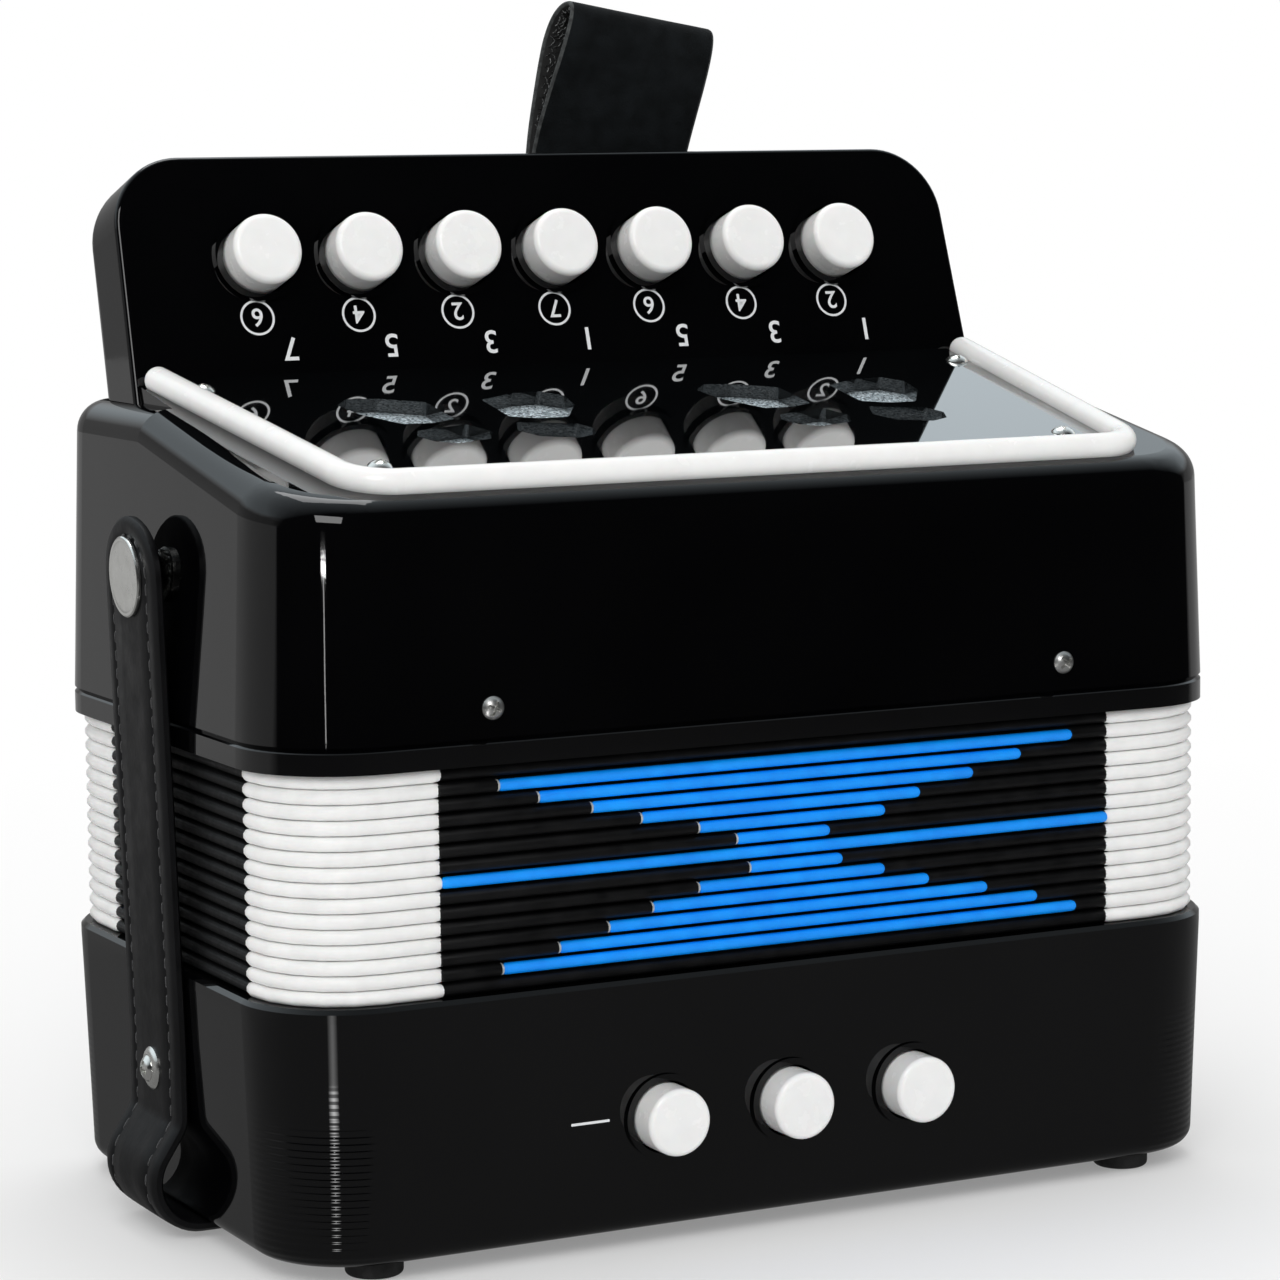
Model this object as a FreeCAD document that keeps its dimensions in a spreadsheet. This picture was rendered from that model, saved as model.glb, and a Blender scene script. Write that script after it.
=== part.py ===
import FreeCAD, Part
import math
import os
import re
import Sketcher

# Toy button accordion with seven treble buttons, two bass buttons and an air button.
# It stands on its bass end: +X to the player's left hand side of the front, +Y to the back, +Z up.
# The origin is on the surface that the feet stand on, below the middle of the box.
# Lengths are millimetres and angles are degrees.

SIZES = {
    # Both casings share one outline, moulded with a draft away from the bellows.
    "casing_width": 180.0, "casing_depth": 108.0, "corner_radius": 18.0, "draft_angle": 2.0,
    "wall": 2.2,
    "seam_chamfer": 0.5, "fit_gap": 0.3, "seal_gap": 0.1, "screw_fit": 0.1, "cut_overrun": 1.0,
    "hair": 0.03,
    # Bass end
    "foot_height": 2.8, "foot_radius": 4.75, "foot_edge_radius": 0.8, "foot_stem_radius": 1.6,
    "foot_stem_length": 4.0, "foot_reach_x": 71.5, "foot_reach_y": 44.5,
    "bass_height": 40.0, "bass_floor": 2.4, "bass_bottom_radius": 3.0, "post_radius": 3.4,
    "bass_frame_height": 2.2, "frame_rim": 13.0, "frame_chamfer": 0.7, "board_thickness": 3.0,
    "bass_pitch": 23.3, "bass_button_rise": 18.9, "bass_button_radius": 5.6, "bass_button_out": 5.8,
    "bass_button_in": 3.6, "bass_button_edge": 0.9, "bass_stem_radius": 2.0, "bass_stem_gap": 0.3,
    "button_fit": 0.45, "bass_collar_rim": 1.1, "bass_collar_rise": 0.7, "bass_travel": 2.5,
    "reed_gap": 2.0, "bass_axle_drop": 7.2, "bass_axle_radius": 1.25, "axle_fit": 0.04,
    "bass_arm": 2.4, "bass_lever_width": 4.0, "bass_hub_radius": 3.0, "bass_reach": 20.0,
    "bass_crank_tail": 2.6, "bass_pallet_radius": 6.4, "bass_pallet_thickness": 3.0,
    "pallet_stem_radius": 2.0, "bass_hole_radius": 4.4, "bracket_width": 3.0, "bracket_reach": 4.2,
    "bass_reed_width": 18.0, "bass_reed_length": 30.0, "reed_plate_thickness": 1.0,
    "reed_slot_width": 2.6, "reed_slot_length": 22.0, "reed_pitch": 5.2, "reed_tongue_lift": 0.3,
    "reed_tongue_width": 2.2, "reed_tongue_thickness": 0.4, "reed_rivet_length": 3.0,
    # Bellows
    "bellows_height": 37.1, "bellows_inset": 1.5, "bellows_wall": 11.0, "fold_depth": 2.0,
    "fold_crest": 1.1, "tape_reach_front": 26.0, "tape_reach_side_front": 19.0,
    "tape_reach_side_back": 26.5,
    # Treble end
    "treble_frame_height": 3.9, "slope_rise": 48.6, "slope_angle": 11.0, "land_rise": 50.2,
    "top_radius": 5.5, "block_margin": 6.0,
    "cleat_width": 9.0, "cleat_depth": 6.5, "cleat_height": 7.6,
    # Grille, in the plane of the sloping top
    "plate_thickness": 1.2, "plate_sink": 1.2, "plate_lap": 0.05, "bead_radius": 2.35, "bead_lift": 1.4,
    "bead_half_front": 72.6, "bead_half_back": 80.0, "bead_front": 47.6, "bead_back": 24.3,
    "bead_corner": 7.5, "plate_corner": 5.2, "group_reach": 34.2, "wing_edge": 1.1,
    "back_wing_x": 13.2, "back_wing_y": -3.4, "back_wing_width": 16.3, "back_wing_height": 17.7,
    "front_wing_x": 9.3, "front_wing_y": -19.7, "front_wing_width": 13.9, "front_wing_height": 11.6,
    "cloth_thickness": 0.4, "window_half": 61.0, "window_front": 30.0, "window_back": 10.0,
    "window_deep": 13.2,
    "plate_screw_back_x": 74.4, "plate_screw_back_y": 15.0, "plate_screw_front_x": 64.5,
    "plate_screw_front_y": 37.0, "plate_screw_radius": 1.7, "plate_dome_radius": 1.8,
    "plate_screw_rise": 1.02, "plate_screw_shank": 0.8, "plate_screw_length": 2.6,
    # Keyboard box, leaning back; its own axes are X, the way up its front face, and out of that face
    "key_foot_y": 22.5, "key_foot_rise": 47.2, "lean_angle": 17.9, "key_half_bottom": 83.4,
    "key_half_top": 82.1, "key_height": 46.9, "key_top_radius": 13.0, "key_front_depth": 6.0,
    "key_depth": 16.0, "key_sink": 15.6, "key_edge_radius": 0.9, "key_back_radius": 4.0, "key_tuck": 1.5,
    "key_pitch": 19.1, "key_button_height": 28.5, "key_button_radius": 6.3, "key_button_out": 5.8,
    "key_button_in": 2.8, "key_button_edge": 1.1, "key_button_fit": 0.6, "key_stem_radius": 2.2,
    "key_collar_rim": 1.2,
    "key_collar_rise": 0.9, "key_boss_radius": 2.6, "key_boss_x": 72.0, "key_boss_low": 12.0,
    "key_boss_high": 36.0,
    # Key levers
    "lever_depth": 8.0, "pivot_rise": 9.86, "lever_end": 4.0, "lever_arm": 2.0, "lever_width": 3.6,
    "lever_hub_radius": 3.2, "lever_reach": 30.0, "key_axle_radius": 1.25, "key_axle_half": 69.0,
    "pallet_radius": 5.5, "pallet_thickness": 1.8, "pad_thickness": 1.9, "treble_hole_radius": 3.8,
    "key_bracket_reach": 4.5, "treble_reed_width": 15.0, "treble_reed_length": 38.0,
    "spring_thickness": 0.5, "spring_width": 3.0, "spring_strip": 6.0, "spring_back": 9.0,
    "spring_clear": 0.35,
    # Small plated screws in the treble end and behind the keyboard
    "screw_head_radius": 1.9, "screw_dome_radius": 2.1, "screw_dome_sink": 0.88,
    "screw_shank_radius": 1.0, "screw_length": 7.0,
    "screw_reach_x": 53.4, "screw_rise": 5.2,
    # Side straps and their snaps
    "strap_width": 23.0, "strap_thickness": 2.0, "strap_stand": 0.9, "strap_lean_angle": 2.7,
    "strap_hinge_rise": 32.5, "snap_height": 76.0, "snap_radius": 7.5, "snap_cap": 1.7,
    "snap_cap_edge": 1.3, "socket_radius": 4.6, "socket_height": 2.2, "socket_bore": 3.2,
    "socket_depth": 1.9, "snap_post_radius": 1.8, "stud_flange_radius": 4.3, "stud_flange": 0.8,
    "stud_radius": 1.9, "stud_entry": 1.5, "stud_root": 2.0,
    # Hand strap, which goes from side to side under the box
    "strap_screw_rise": 27.0, "bulge_radius": 9.5, "bulge_inset": 1.5, "bulge_lift_angle": 130.0,
    "bulge_blend": 4.0, "strap_joint_gap": 0.3,
    "washer_radius": 3.6, "washer_thickness": 0.9, "strap_screw_radius": 2.2, "strap_screw_shank": 1.2,
    "strap_screw_head": 1.21, "strap_screw_length": 8.0,
    # Thumb strap behind the keyboard
    "thumb_x": 19.0, "thumb_height": 27.0, "thumb_roll_angle": 14.0, "thumb_half_width": 15.5,
    "thumb_thickness": 1.2, "thumb_tail": 8.0, "thumb_top": 52.5, "thumb_split": 6.0, "thumb_flare": 20.0,
    "thumb_gap": 6.2, "thumb_screw_radius": 3.2, "thumb_screw_head": 1.2, "thumb_screw_length": 4.4,
}
FOLDS = 15
KEYS = 7
BASS_KEYS = 3
REEDS_PER_KEY = 2
# Outlines of the two right wings of a group of cut-outs, as shares of a wing's width and height.
BACK_WING_SHARES = ((-0.49, 0.27), (-0.03, 0.47), (0.3, 0.5), (0.5, 0.29), (0.42, -0.07), (0.13, -0.49),
                    (-0.2, -0.5), (-0.5, -0.39))
FRONT_WING_SHARES = ((-0.34, 0.5), (0.39, 0.26), (0.5, -0.03), (0.39, -0.35), (0.12, -0.5), (-0.35, -0.33),
                     (-0.5, 0.03))
# Share of the fold wall that the valley keeps free, and of the bead that its ends are rounded by.
VALLEY_SHARE = 0.5
BEAD_END_SHARE = 0.92
SPRING_TIP_SHARE = 0.35

document = FreeCAD.newDocument("accordion")
Vector = FreeCAD.Vector
sheet = document.addObject("Spreadsheet::Sheet", "Sizes")
for row, (alias, value) in enumerate(SIZES.items(), start=1):
    sheet.set("A%d" % row, alias)
    sheet.set("B%d" % row, str(value))
    sheet.setAlias("B%d" % row, alias)
probe = document.addObject("App::FeaturePython", "Probe")
probe.addProperty("App::PropertyFloat", "Value")
document.recompute()
nodes = {}

# Levels and places that several pieces share, written in the sheet's names
BASS_RIM = "(foot_height + bass_height)"
BELLOWS_FOOT = "(foot_height + bass_height + bass_frame_height)"
BELLOWS_TOP = "(foot_height + bass_height + bass_frame_height + bellows_height)"
TREBLE_FLOOR = "(foot_height + bass_height + bass_frame_height + bellows_height + treble_frame_height)"
BOARD_TOP = "(%s + board_thickness)" % TREBLE_FLOOR
BASS_AXLE_RISE = "(%s - board_thickness - bass_axle_drop)" % BASS_RIM
BASS_AXLE_Y = "(bass_reach + bass_reed_length / 2 + frame_rim + reed_gap - casing_depth / 2)"
INNER_RADIUS = "(corner_radius - wall)"
BEAD_SLANT = "((bead_half_back - bead_half_front) / (bead_back + bead_front))"


def bound(text):
    """Give every sheet name in a formula its sheet, as expressions need it."""
    return re.sub(r"[a-z_]+", lambda found: "Sizes." + found.group() if found.group() in SIZES
                  else found.group(), str(text))


def number(text):
    """The value of a formula, worked out by the document from the sheet."""
    probe.setExpression("Value", bound(text))
    probe.recompute()
    return float(probe.Value)


def bind(item, name, text):
    item.setExpression(name, bound(text))


def place(x=0, y=0, z=0, angle=0, axis=(1, 0, 0)):
    """A placement from formulas: moved, then turned about one axis."""
    turn = FreeCAD.Rotation(Vector(*axis), number(angle))
    return FreeCAD.Placement(Vector(number(x), number(y), number(z)), turn)


# The keyboard's frame, the sloping top's frame, and the pivot line of the key levers, which is at a
# level over the sound board. The length of the levers follows from it.
KEYBOARD = place(0, "key_foot_y", TREBLE_FLOOR + " + key_foot_rise", "90 - lean_angle")
SLOPE = place(0, 0, TREBLE_FLOOR + " + slope_rise", "slope_angle")
PIVOT_UP = ("((board_thickness + pivot_rise - key_foot_rise + lever_depth * sin(lean_angle)) / "
            "cos(lean_angle))")
LEVER_LENGTH = "(key_button_height - %s)" % PIVOT_UP
PIVOT = KEYBOARD.multVec(Vector(0, number(PIVOT_UP), number("-lever_depth")))


def keep(label, item, placement=None):
    """Name a finished sub-part, place it and list it as a node."""
    item.Label = label
    if placement is not None:
        item.Placement = placement
    nodes[label] = item
    return item


def new_body(label):
    return document.addObject("PartDesign::Body", label)


def new_sketch(body, role, offset=0, turn=0):
    """A sketch on one of the body's own planes, moved along its normal and turned in it."""
    sketch = body.newObject("Sketcher::SketchObject", body.Name + "_sketch")
    plane = [item for item in body.Origin.OriginFeatures if item.Role == role][0]
    sketch.AttachmentSupport = [(plane, "")]
    sketch.MapMode = "FlatFace"
    sketch.AttachmentOffset = FreeCAD.Placement(Vector(), FreeCAD.Rotation(Vector(0, 0, 1), number(turn)))
    bind(sketch, "AttachmentOffset.Base.z", offset)
    return sketch


def datum(sketch, kind, places, text):
    index = sketch.addConstraint(Sketcher.Constraint(kind, *places, number(text)))
    sketch.setExpression("Constraints[%d]" % index, bound(text))


def polygon(sketch, corners):
    """A closed outline; each corner is a pair of formulas."""
    first = sketch.GeometryCount
    points = [Vector(number(across), number(up), 0) for across, up in corners]
    count = len(points)
    for step in range(count):
        sketch.addGeometry(Part.LineSegment(points[step], points[(step + 1) % count]), False)
    for step in range(count):
        after = first + (step + 1) % count
        sketch.addConstraint(Sketcher.Constraint("Coincident", first + step, 2, after, 1))
        datum(sketch, "DistanceX", (-1, 1, first + step, 1), corners[step][0])
        datum(sketch, "DistanceY", (-1, 1, first + step, 1), corners[step][1])
    return sketch


def box_outline(sketch, left, low, right, high):
    return polygon(sketch, ((left, low), (right, low), (right, high), (left, high)))


def circle(sketch, across, up, radius):
    centre = Vector(number(across), number(up), 0)
    index = sketch.addGeometry(Part.Circle(centre, Vector(0, 0, 1), number(radius)), False)
    datum(sketch, "Radius", (index,), radius)
    datum(sketch, "DistanceX", (-1, 1, index, 3), across)
    datum(sketch, "DistanceY", (-1, 1, index, 3), up)
    return sketch


def rounded(sketch, width, depth, radius):
    """A rectangle round the origin with four equal round corners."""
    first = sketch.GeometryCount
    signs = ((1, 1), (-1, 1), (-1, -1), (1, -1))
    for quarter, (right, back) in enumerate(signs):
        centre = Vector(right * (number(width) / 2 - number(radius)),
                        back * (number(depth) / 2 - number(radius)), 0)
        turn = quarter * math.pi / 2
        arc = Part.Circle(centre, Vector(0, 0, 1), number(radius))
        sketch.addGeometry(Part.ArcOfCircle(arc, turn, turn + math.pi / 2), False)
    for quarter in range(4):
        here = sketch.Geometry[first + quarter].EndPoint
        there = sketch.Geometry[first + (quarter + 1) % 4].StartPoint
        sketch.addGeometry(Part.LineSegment(here, there), False)
    for quarter, (right, back) in enumerate(signs):
        side = first + 4 + quarter
        arc = first + quarter
        after = first + (quarter + 1) % 4
        sketch.addConstraint(Sketcher.Constraint("Tangent", arc, 2, side, 1))
        sketch.addConstraint(Sketcher.Constraint("Tangent", side, 2, after, 1))
        datum(sketch, "Radius", (arc,), radius)
        datum(sketch, "DistanceX", (-1, 1, arc, 3), "%d * ((%s) / 2 - (%s))" % (right, width, radius))
        datum(sketch, "DistanceY", (-1, 1, arc, 3), "%d * ((%s) / 2 - (%s))" % (back, depth, radius))
    return sketch


def pad(body, sketch, length, down=False, both=False, taper=None):
    feature = body.newObject("PartDesign::Pad", body.Name + "_pad")
    feature.Profile = sketch
    bind(feature, "Length", length)
    feature.Reversed = down
    feature.Midplane = both
    if taper is not None:
        bind(feature, "TaperAngle", taper)
    body.Tip = feature
    document.recompute()
    return feature


def pocket(body, sketch, length, up=False, both=False, taper=None):
    """Cut a sketch out of the body, and make sure that it did cut."""
    before = body.Shape.Volume
    feature = body.newObject("PartDesign::Pocket", body.Name + "_pocket")
    feature.Profile = sketch
    bind(feature, "Length", length)
    feature.Reversed = up
    feature.Midplane = both
    if taper is not None:
        bind(feature, "TaperAngle", taper)
    body.Tip = feature
    document.recompute()
    if body.Shape.Volume >= before:
        raise RuntimeError(body.Name + ": a pocket cuts nothing")
    return feature


def round_edges(body, chosen, radius, kind="PartDesign::Fillet"):
    """Fillet or chamfer the edges of the body that a test picks."""
    base = body.Tip
    names = ["Edge%d" % index for index, edge in enumerate(base.Shape.Edges, start=1) if chosen(edge)]
    feature = body.newObject(kind, body.Name + "_edges")
    feature.Base = (base, names)
    bind(feature, "Radius" if kind.endswith("Fillet") else "Size", radius)
    body.Tip = feature
    document.recompute()
    return feature


def at_level(level, part="Z"):
    """A test for edges that lie wholly at one level of an axis."""
    target = number(level)
    near = number("hair")

    def chosen(edge):
        low = getattr(edge.BoundBox, part + "Min")
        high = getattr(edge.BoundBox, part + "Max")
        return abs(low - target) < near and abs(high - target) < near
    return chosen


def cylinder(label, radius, height, placement):
    item = document.addObject("Part::Cylinder", label)
    bind(item, "Radius", radius)
    bind(item, "Height", height)
    item.Placement = placement
    return item


def block(label, length, width, height, placement):
    item = document.addObject("Part::Box", label)
    bind(item, "Length", length)
    bind(item, "Width", width)
    bind(item, "Height", height)
    item.Placement = placement
    return item


def fuse(label, items):
    item = document.addObject("Part::MultiFuse", label)
    item.Shapes = items
    item.Refine = True
    document.recompute()
    return item


def cut(label, base, tools):
    """Take tools away from a base, one after another in one feature."""
    item = document.addObject("Part::Cut", label)
    item.Base = base
    item.Tool = tools[0] if len(tools) == 1 else fuse(label + "_tools", tools)
    document.recompute()
    return item


def group(label, items):
    item = document.addObject("Part::Compound", label)
    item.Links = items
    document.recompute()
    return keep(label, item)


def copies(label, master, placements):
    """Equal solids at several places, as one node."""
    items = []
    for placement in placements:
        item = document.addObject("Part::Feature", label + "_copy")
        item.Shape = master.Shape.copy()
        item.Placement = placement.multiply(master.Placement)
        items.append(item)
    return group(label, items)


def solid(label, shape, placement=None):
    item = document.addObject("Part::Feature", label)
    item.Shape = shape
    return keep(label, item, placement)


def bass_places():
    return [(step - (BASS_KEYS - 1) / 2) * number("bass_pitch") for step in range(BASS_KEYS)]


def key_places():
    return [(step - (KEYS - 1) / 2) * number("key_pitch") for step in range(KEYS)]


def make_bass_casing():
    """Open moulded box with a post over each foot, button collars and holes for the strap screws."""
    body = new_body("bass_casing")
    outline = new_sketch(body, "XY_Plane", BASS_RIM)
    rounded(outline, "casing_width", "casing_depth", "corner_radius")
    pad(body, outline, "bass_height", down=True, taper="-draft_angle")
    round_edges(body, at_level("foot_height"), "bass_bottom_radius")
    collars = new_sketch(body, "XZ_Plane", "casing_depth / 2 + bass_collar_rise - "
                         "tan(draft_angle) * (bass_height - bass_button_rise)")
    holes = new_sketch(body, "XZ_Plane", "casing_depth / 2 + bass_collar_rise + cut_overrun")
    for step in range(BASS_KEYS):
        across = "%g * bass_pitch" % (step - (BASS_KEYS - 1) / 2)
        up = "foot_height + bass_button_rise"
        circle(collars, across, up, "bass_button_radius + button_fit + bass_collar_rim")
        circle(holes, across, up, "bass_button_radius + button_fit")
    pad(body, collars, "bass_collar_rise + wall / 2", down=True)
    inner = new_sketch(body, "XY_Plane", BASS_RIM)
    rounded(inner, "casing_width - 2 * wall", "casing_depth - 2 * wall", INNER_RADIUS)
    pocket(body, inner, "bass_height - bass_floor", taper="-draft_angle")
    posts = new_sketch(body, "XY_Plane", "foot_height + bass_floor / 2")
    for right in (-1, 1):
        for back in (-1, 1):
            circle(posts, "%d * foot_reach_x" % right, "%d * foot_reach_y" % back, "post_radius")
    pad(body, posts, "bass_height - board_thickness - bass_floor / 2")
    stems = new_sketch(body, "XY_Plane", "foot_height")
    for right in (-1, 1):
        for back in (-1, 1):
            circle(stems, "%d * foot_reach_x" % right, "%d * foot_reach_y" % back,
                   "foot_stem_radius + screw_fit")
    pocket(body, stems, "foot_stem_length + fit_gap", up=True)
    pocket(body, holes, "wall * 2 + bass_collar_rise + cut_overrun")
    screws = circle(new_sketch(body, "YZ_Plane"), 0, "strap_screw_rise", "strap_screw_shank + screw_fit")
    pocket(body, screws, "casing_width + cut_overrun", both=True)
    return keep("bass_casing", body)


def make_ring(label, foot, height, chamfer_level, chamfer):
    """Flat frame on a casing's rim, open in the middle."""
    body = new_body(label)
    outline = rounded(new_sketch(body, "XY_Plane", foot), "casing_width", "casing_depth", "corner_radius")
    pad(body, outline, height)
    round_edges(body, at_level(chamfer_level), chamfer, "PartDesign::Chamfer")
    inner = new_sketch(body, "XY_Plane", foot)
    rounded(inner, "casing_width - 2 * frame_rim", "casing_depth - 2 * frame_rim", "corner_radius / 2")
    pocket(body, inner, height, up=True)
    return keep(label, body)


def make_bass_board():
    """Sound board of the bass end, with a hole under each pallet and hangers for the axle."""
    body = new_body("bass_soundboard")
    outline = new_sketch(body, "XY_Plane", BASS_RIM)
    inset = "2 * (wall + fit_gap + board_thickness * tan(draft_angle))"
    rounded(outline, "casing_width - " + inset, "casing_depth - " + inset, INNER_RADIUS)
    pad(body, outline, "board_thickness", down=True)
    holes = new_sketch(body, "XY_Plane", BASS_RIM)
    hangers = new_sketch(body, "XY_Plane", BASS_RIM + " - board_thickness")
    for step in range(BASS_KEYS):
        circle(holes, "%g * bass_pitch" % (step - (BASS_KEYS - 1) / 2), BASS_AXLE_Y + " - bass_reach",
               "bass_hole_radius")
    for step in range(BASS_KEYS + 1):
        middle = "%g * bass_pitch" % (step - BASS_KEYS / 2)
        box_outline(hangers, middle + " - bracket_width / 2", BASS_AXLE_Y + " - bracket_reach",
                    middle + " + bracket_width / 2", BASS_AXLE_Y + " + bracket_reach")
    pocket(body, holes, "board_thickness")
    pad(body, hangers, "bass_axle_drop + bracket_reach", down=True)
    bore = circle(new_sketch(body, "YZ_Plane"), BASS_AXLE_Y, BASS_AXLE_RISE, "bass_axle_radius + axle_fit")
    pocket(body, bore, "casing_width", both=True)
    return keep("bass_soundboard", body)


def make_treble_board():
    """Sound board of the treble end, with pallet holes, axle brackets and cleats for the casing screws."""
    body = new_body("treble_soundboard")
    outline = new_sketch(body, "XY_Plane", TREBLE_FLOOR)
    inset = "2 * (wall + fit_gap + cleat_height * tan(draft_angle))"
    rounded(outline, "casing_width - " + inset, "casing_depth - " + inset, INNER_RADIUS)
    pad(body, outline, "board_thickness")
    holes = new_sketch(body, "XY_Plane", BOARD_TOP)
    brackets = new_sketch(body, "XY_Plane", BOARD_TOP)
    pivot = "%.9g * key_foot_y" % (PIVOT.y / number("key_foot_y"))
    for step in range(KEYS):
        circle(holes, "%g * key_pitch" % (step - (KEYS - 1) / 2), pivot + " - lever_reach",
               "treble_hole_radius")
    for step in (0, KEYS // 2, KEYS // 2 + 1, KEYS):
        middle = "%g * key_pitch" % (step - KEYS / 2)
        box_outline(brackets, middle + " - bracket_width / 2", pivot + " - key_bracket_reach",
                    middle + " + bracket_width / 2", pivot + " + key_bracket_reach")
    pocket(body, holes, "board_thickness")
    pad(body, brackets, "pivot_rise + key_bracket_reach")
    bore = circle(new_sketch(body, "YZ_Plane"), pivot, BOARD_TOP + " + pivot_rise",
                  "key_axle_radius + axle_fit")
    pocket(body, bore, "casing_width", both=True)
    cleats = new_sketch(body, "XY_Plane", TREBLE_FLOOR)
    edge = "casing_depth / 2 - (%s) / 2" % inset
    for right in (-1, 1):
        left = "%d * screw_reach_x - cleat_width / 2" % right
        box_outline(cleats, left, "-(%s)" % edge, left + " + cleat_width", "cleat_depth - (%s)" % edge)
        box_outline(cleats, left, "%s - cleat_depth" % edge, left + " + cleat_width", edge)
    pad(body, cleats, "cleat_height")
    pilots = new_sketch(body, "XZ_Plane")
    for right in (-1, 1):
        circle(pilots, "%d * screw_reach_x" % right, TREBLE_FLOOR + " + screw_rise",
               "screw_shank_radius + screw_fit")
    pocket(body, pilots, "casing_depth", both=True)
    return keep("treble_soundboard", body)


def make_axles():
    axle = cylinder("bass_axle", "bass_axle_radius", "bass_pitch * %d + bracket_width * 2" % BASS_KEYS,
                    place("-bass_pitch * %g - bracket_width" % (BASS_KEYS / 2), BASS_AXLE_Y, BASS_AXLE_RISE,
                          90, (0, 1, 0)))
    keep("bass_axle", axle)
    rest = FreeCAD.Placement(Vector(number("-key_axle_half"), PIVOT.y, PIVOT.z),
                             FreeCAD.Rotation(Vector(0, 1, 0), 90))
    keep("key_axle", cylinder("key_axle", "key_axle_radius", "2 * key_axle_half", rest))


def make_crank(label, x):
    """Bell crank of a bass or air button: one arm down to the button, one forward to its pallet."""
    body = new_body(label)
    drop = "(%s - foot_height - bass_button_rise + bass_crank_tail)" % BASS_AXLE_RISE
    half = "bass_arm / 2"
    arms = new_sketch(body, "YZ_Plane")
    polygon(arms, ((half, half), ("-bass_reach", half), ("-bass_reach", "-" + half),
                   ("-" + half, "-" + half), ("-" + half, "-" + drop), (half, "-" + drop)))
    pad(body, arms, "bass_lever_width", both=True)
    pad(body, circle(new_sketch(body, "YZ_Plane"), 0, 0, "bass_hub_radius"), "bass_lever_width", both=True)
    stem = circle(new_sketch(body, "XY_Plane"), 0, "-bass_reach", "pallet_stem_radius")
    pad(body, stem, "bass_axle_drop - seal_gap")
    pallet = new_sketch(body, "XY_Plane", "bass_axle_drop - seal_gap - bass_pallet_thickness")
    pad(body, circle(pallet, 0, "-bass_reach", "bass_pallet_radius"), "bass_pallet_thickness")
    bore = circle(new_sketch(body, "YZ_Plane"), 0, 0, "bass_axle_radius + axle_fit")
    pocket(body, bore, "bass_lever_width + cut_overrun", both=True)
    return keep(label, body, place(x, BASS_AXLE_Y, BASS_AXLE_RISE))


def make_bass_button(label, x):
    """Push button with a stem that ends in a round tip at the crank."""
    body = new_body(label)
    wall_face = "casing_depth / 2 - tan(draft_angle) * (bass_height - bass_button_rise)"
    reach = "(%s + %s - bass_arm / 2 - bass_stem_gap - bass_stem_radius)" % (wall_face, BASS_AXLE_Y)
    profile = new_sketch(body, "XY_Plane")
    polygon(profile, ((0, "-bass_button_out"), ("bass_button_radius", "-bass_button_out"),
                      ("bass_button_radius", "bass_button_in"), ("bass_stem_radius", "bass_button_in"),
                      ("bass_stem_radius", reach), (0, reach)))
    turned = body.newObject("PartDesign::Revolution", label + "_turned")
    turned.Profile = profile
    turned.ReferenceAxis = (profile, ["V_Axis"])
    turned.Angle = 360
    body.Tip = turned
    document.recompute()
    round_edges(body, at_level("-bass_button_out", "Y"), "bass_button_edge")
    tip = document.addObject("Part::Sphere", label + "_tip")
    bind(tip, "Radius", "bass_stem_radius")
    tip.Placement = place(0, reach, 0)
    item = fuse(label, [body, tip])
    return keep(label, item, place(x, "-(%s)" % wall_face, "foot_height + bass_button_rise"))


def make_reed_plates(label, width, length, level, tongues_up, places, reeds):
    """Brass reed plates with the tongues riveted on, one plate for each place."""
    side = 1 if tongues_up else -1
    body = new_body(label + "_plate")
    box_outline(new_sketch(body, "XY_Plane"), "-%s / 2" % width, "-%s / 2" % length, width + " / 2",
                length + " / 2")
    pad(body, body.Group[-1], "reed_plate_thickness", down=not tongues_up)
    slots = new_sketch(body, "XY_Plane")
    tongues = new_sketch(body, "XY_Plane", "%d * (reed_plate_thickness + reed_tongue_lift)" % side)
    rivets = new_sketch(body, "XY_Plane", "%d * reed_plate_thickness" % side)
    for step in range(reeds):
        middle = "%g * reed_pitch" % (step - (reeds - 1) / 2)
        box_outline(slots, middle + " - reed_slot_width / 2", "-reed_slot_length / 2",
                    middle + " + reed_slot_width / 2", "reed_slot_length / 2")
        box_outline(tongues, middle + " - reed_tongue_width / 2", "-reed_slot_length / 2",
                    middle + " + reed_tongue_width / 2", "reed_slot_length / 2 + reed_rivet_length")
        box_outline(rivets, middle + " - reed_tongue_width / 2", "reed_slot_length / 2",
                    middle + " + reed_tongue_width / 2", "reed_slot_length / 2 + reed_rivet_length")
    pocket(body, slots, "reed_plate_thickness", up=tongues_up)
    pad(body, rivets, "reed_tongue_lift + reed_tongue_thickness", down=not tongues_up)
    pad(body, tongues, "reed_tongue_thickness", down=not tongues_up)
    return copies(label, body, [place(x, y, level) for x, y in places])


def make_feet():
    """Four rubber studs, each with a stem pressed into the casing."""
    body = new_body("foot")
    stud = circle(new_sketch(body, "XY_Plane"), 0, 0, "foot_radius")
    pad(body, stud, "foot_height")
    round_edges(body, at_level(0), "foot_edge_radius")
    stem = circle(new_sketch(body, "XY_Plane", "foot_height"), 0, 0, "foot_stem_radius")
    pad(body, stem, "foot_stem_length")
    return copies("rubber_feet", body, [place("%d * foot_reach_x" % right, "%d * foot_reach_y" % back, 0)
                                        for right in (-1, 1) for back in (-1, 1)])


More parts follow.
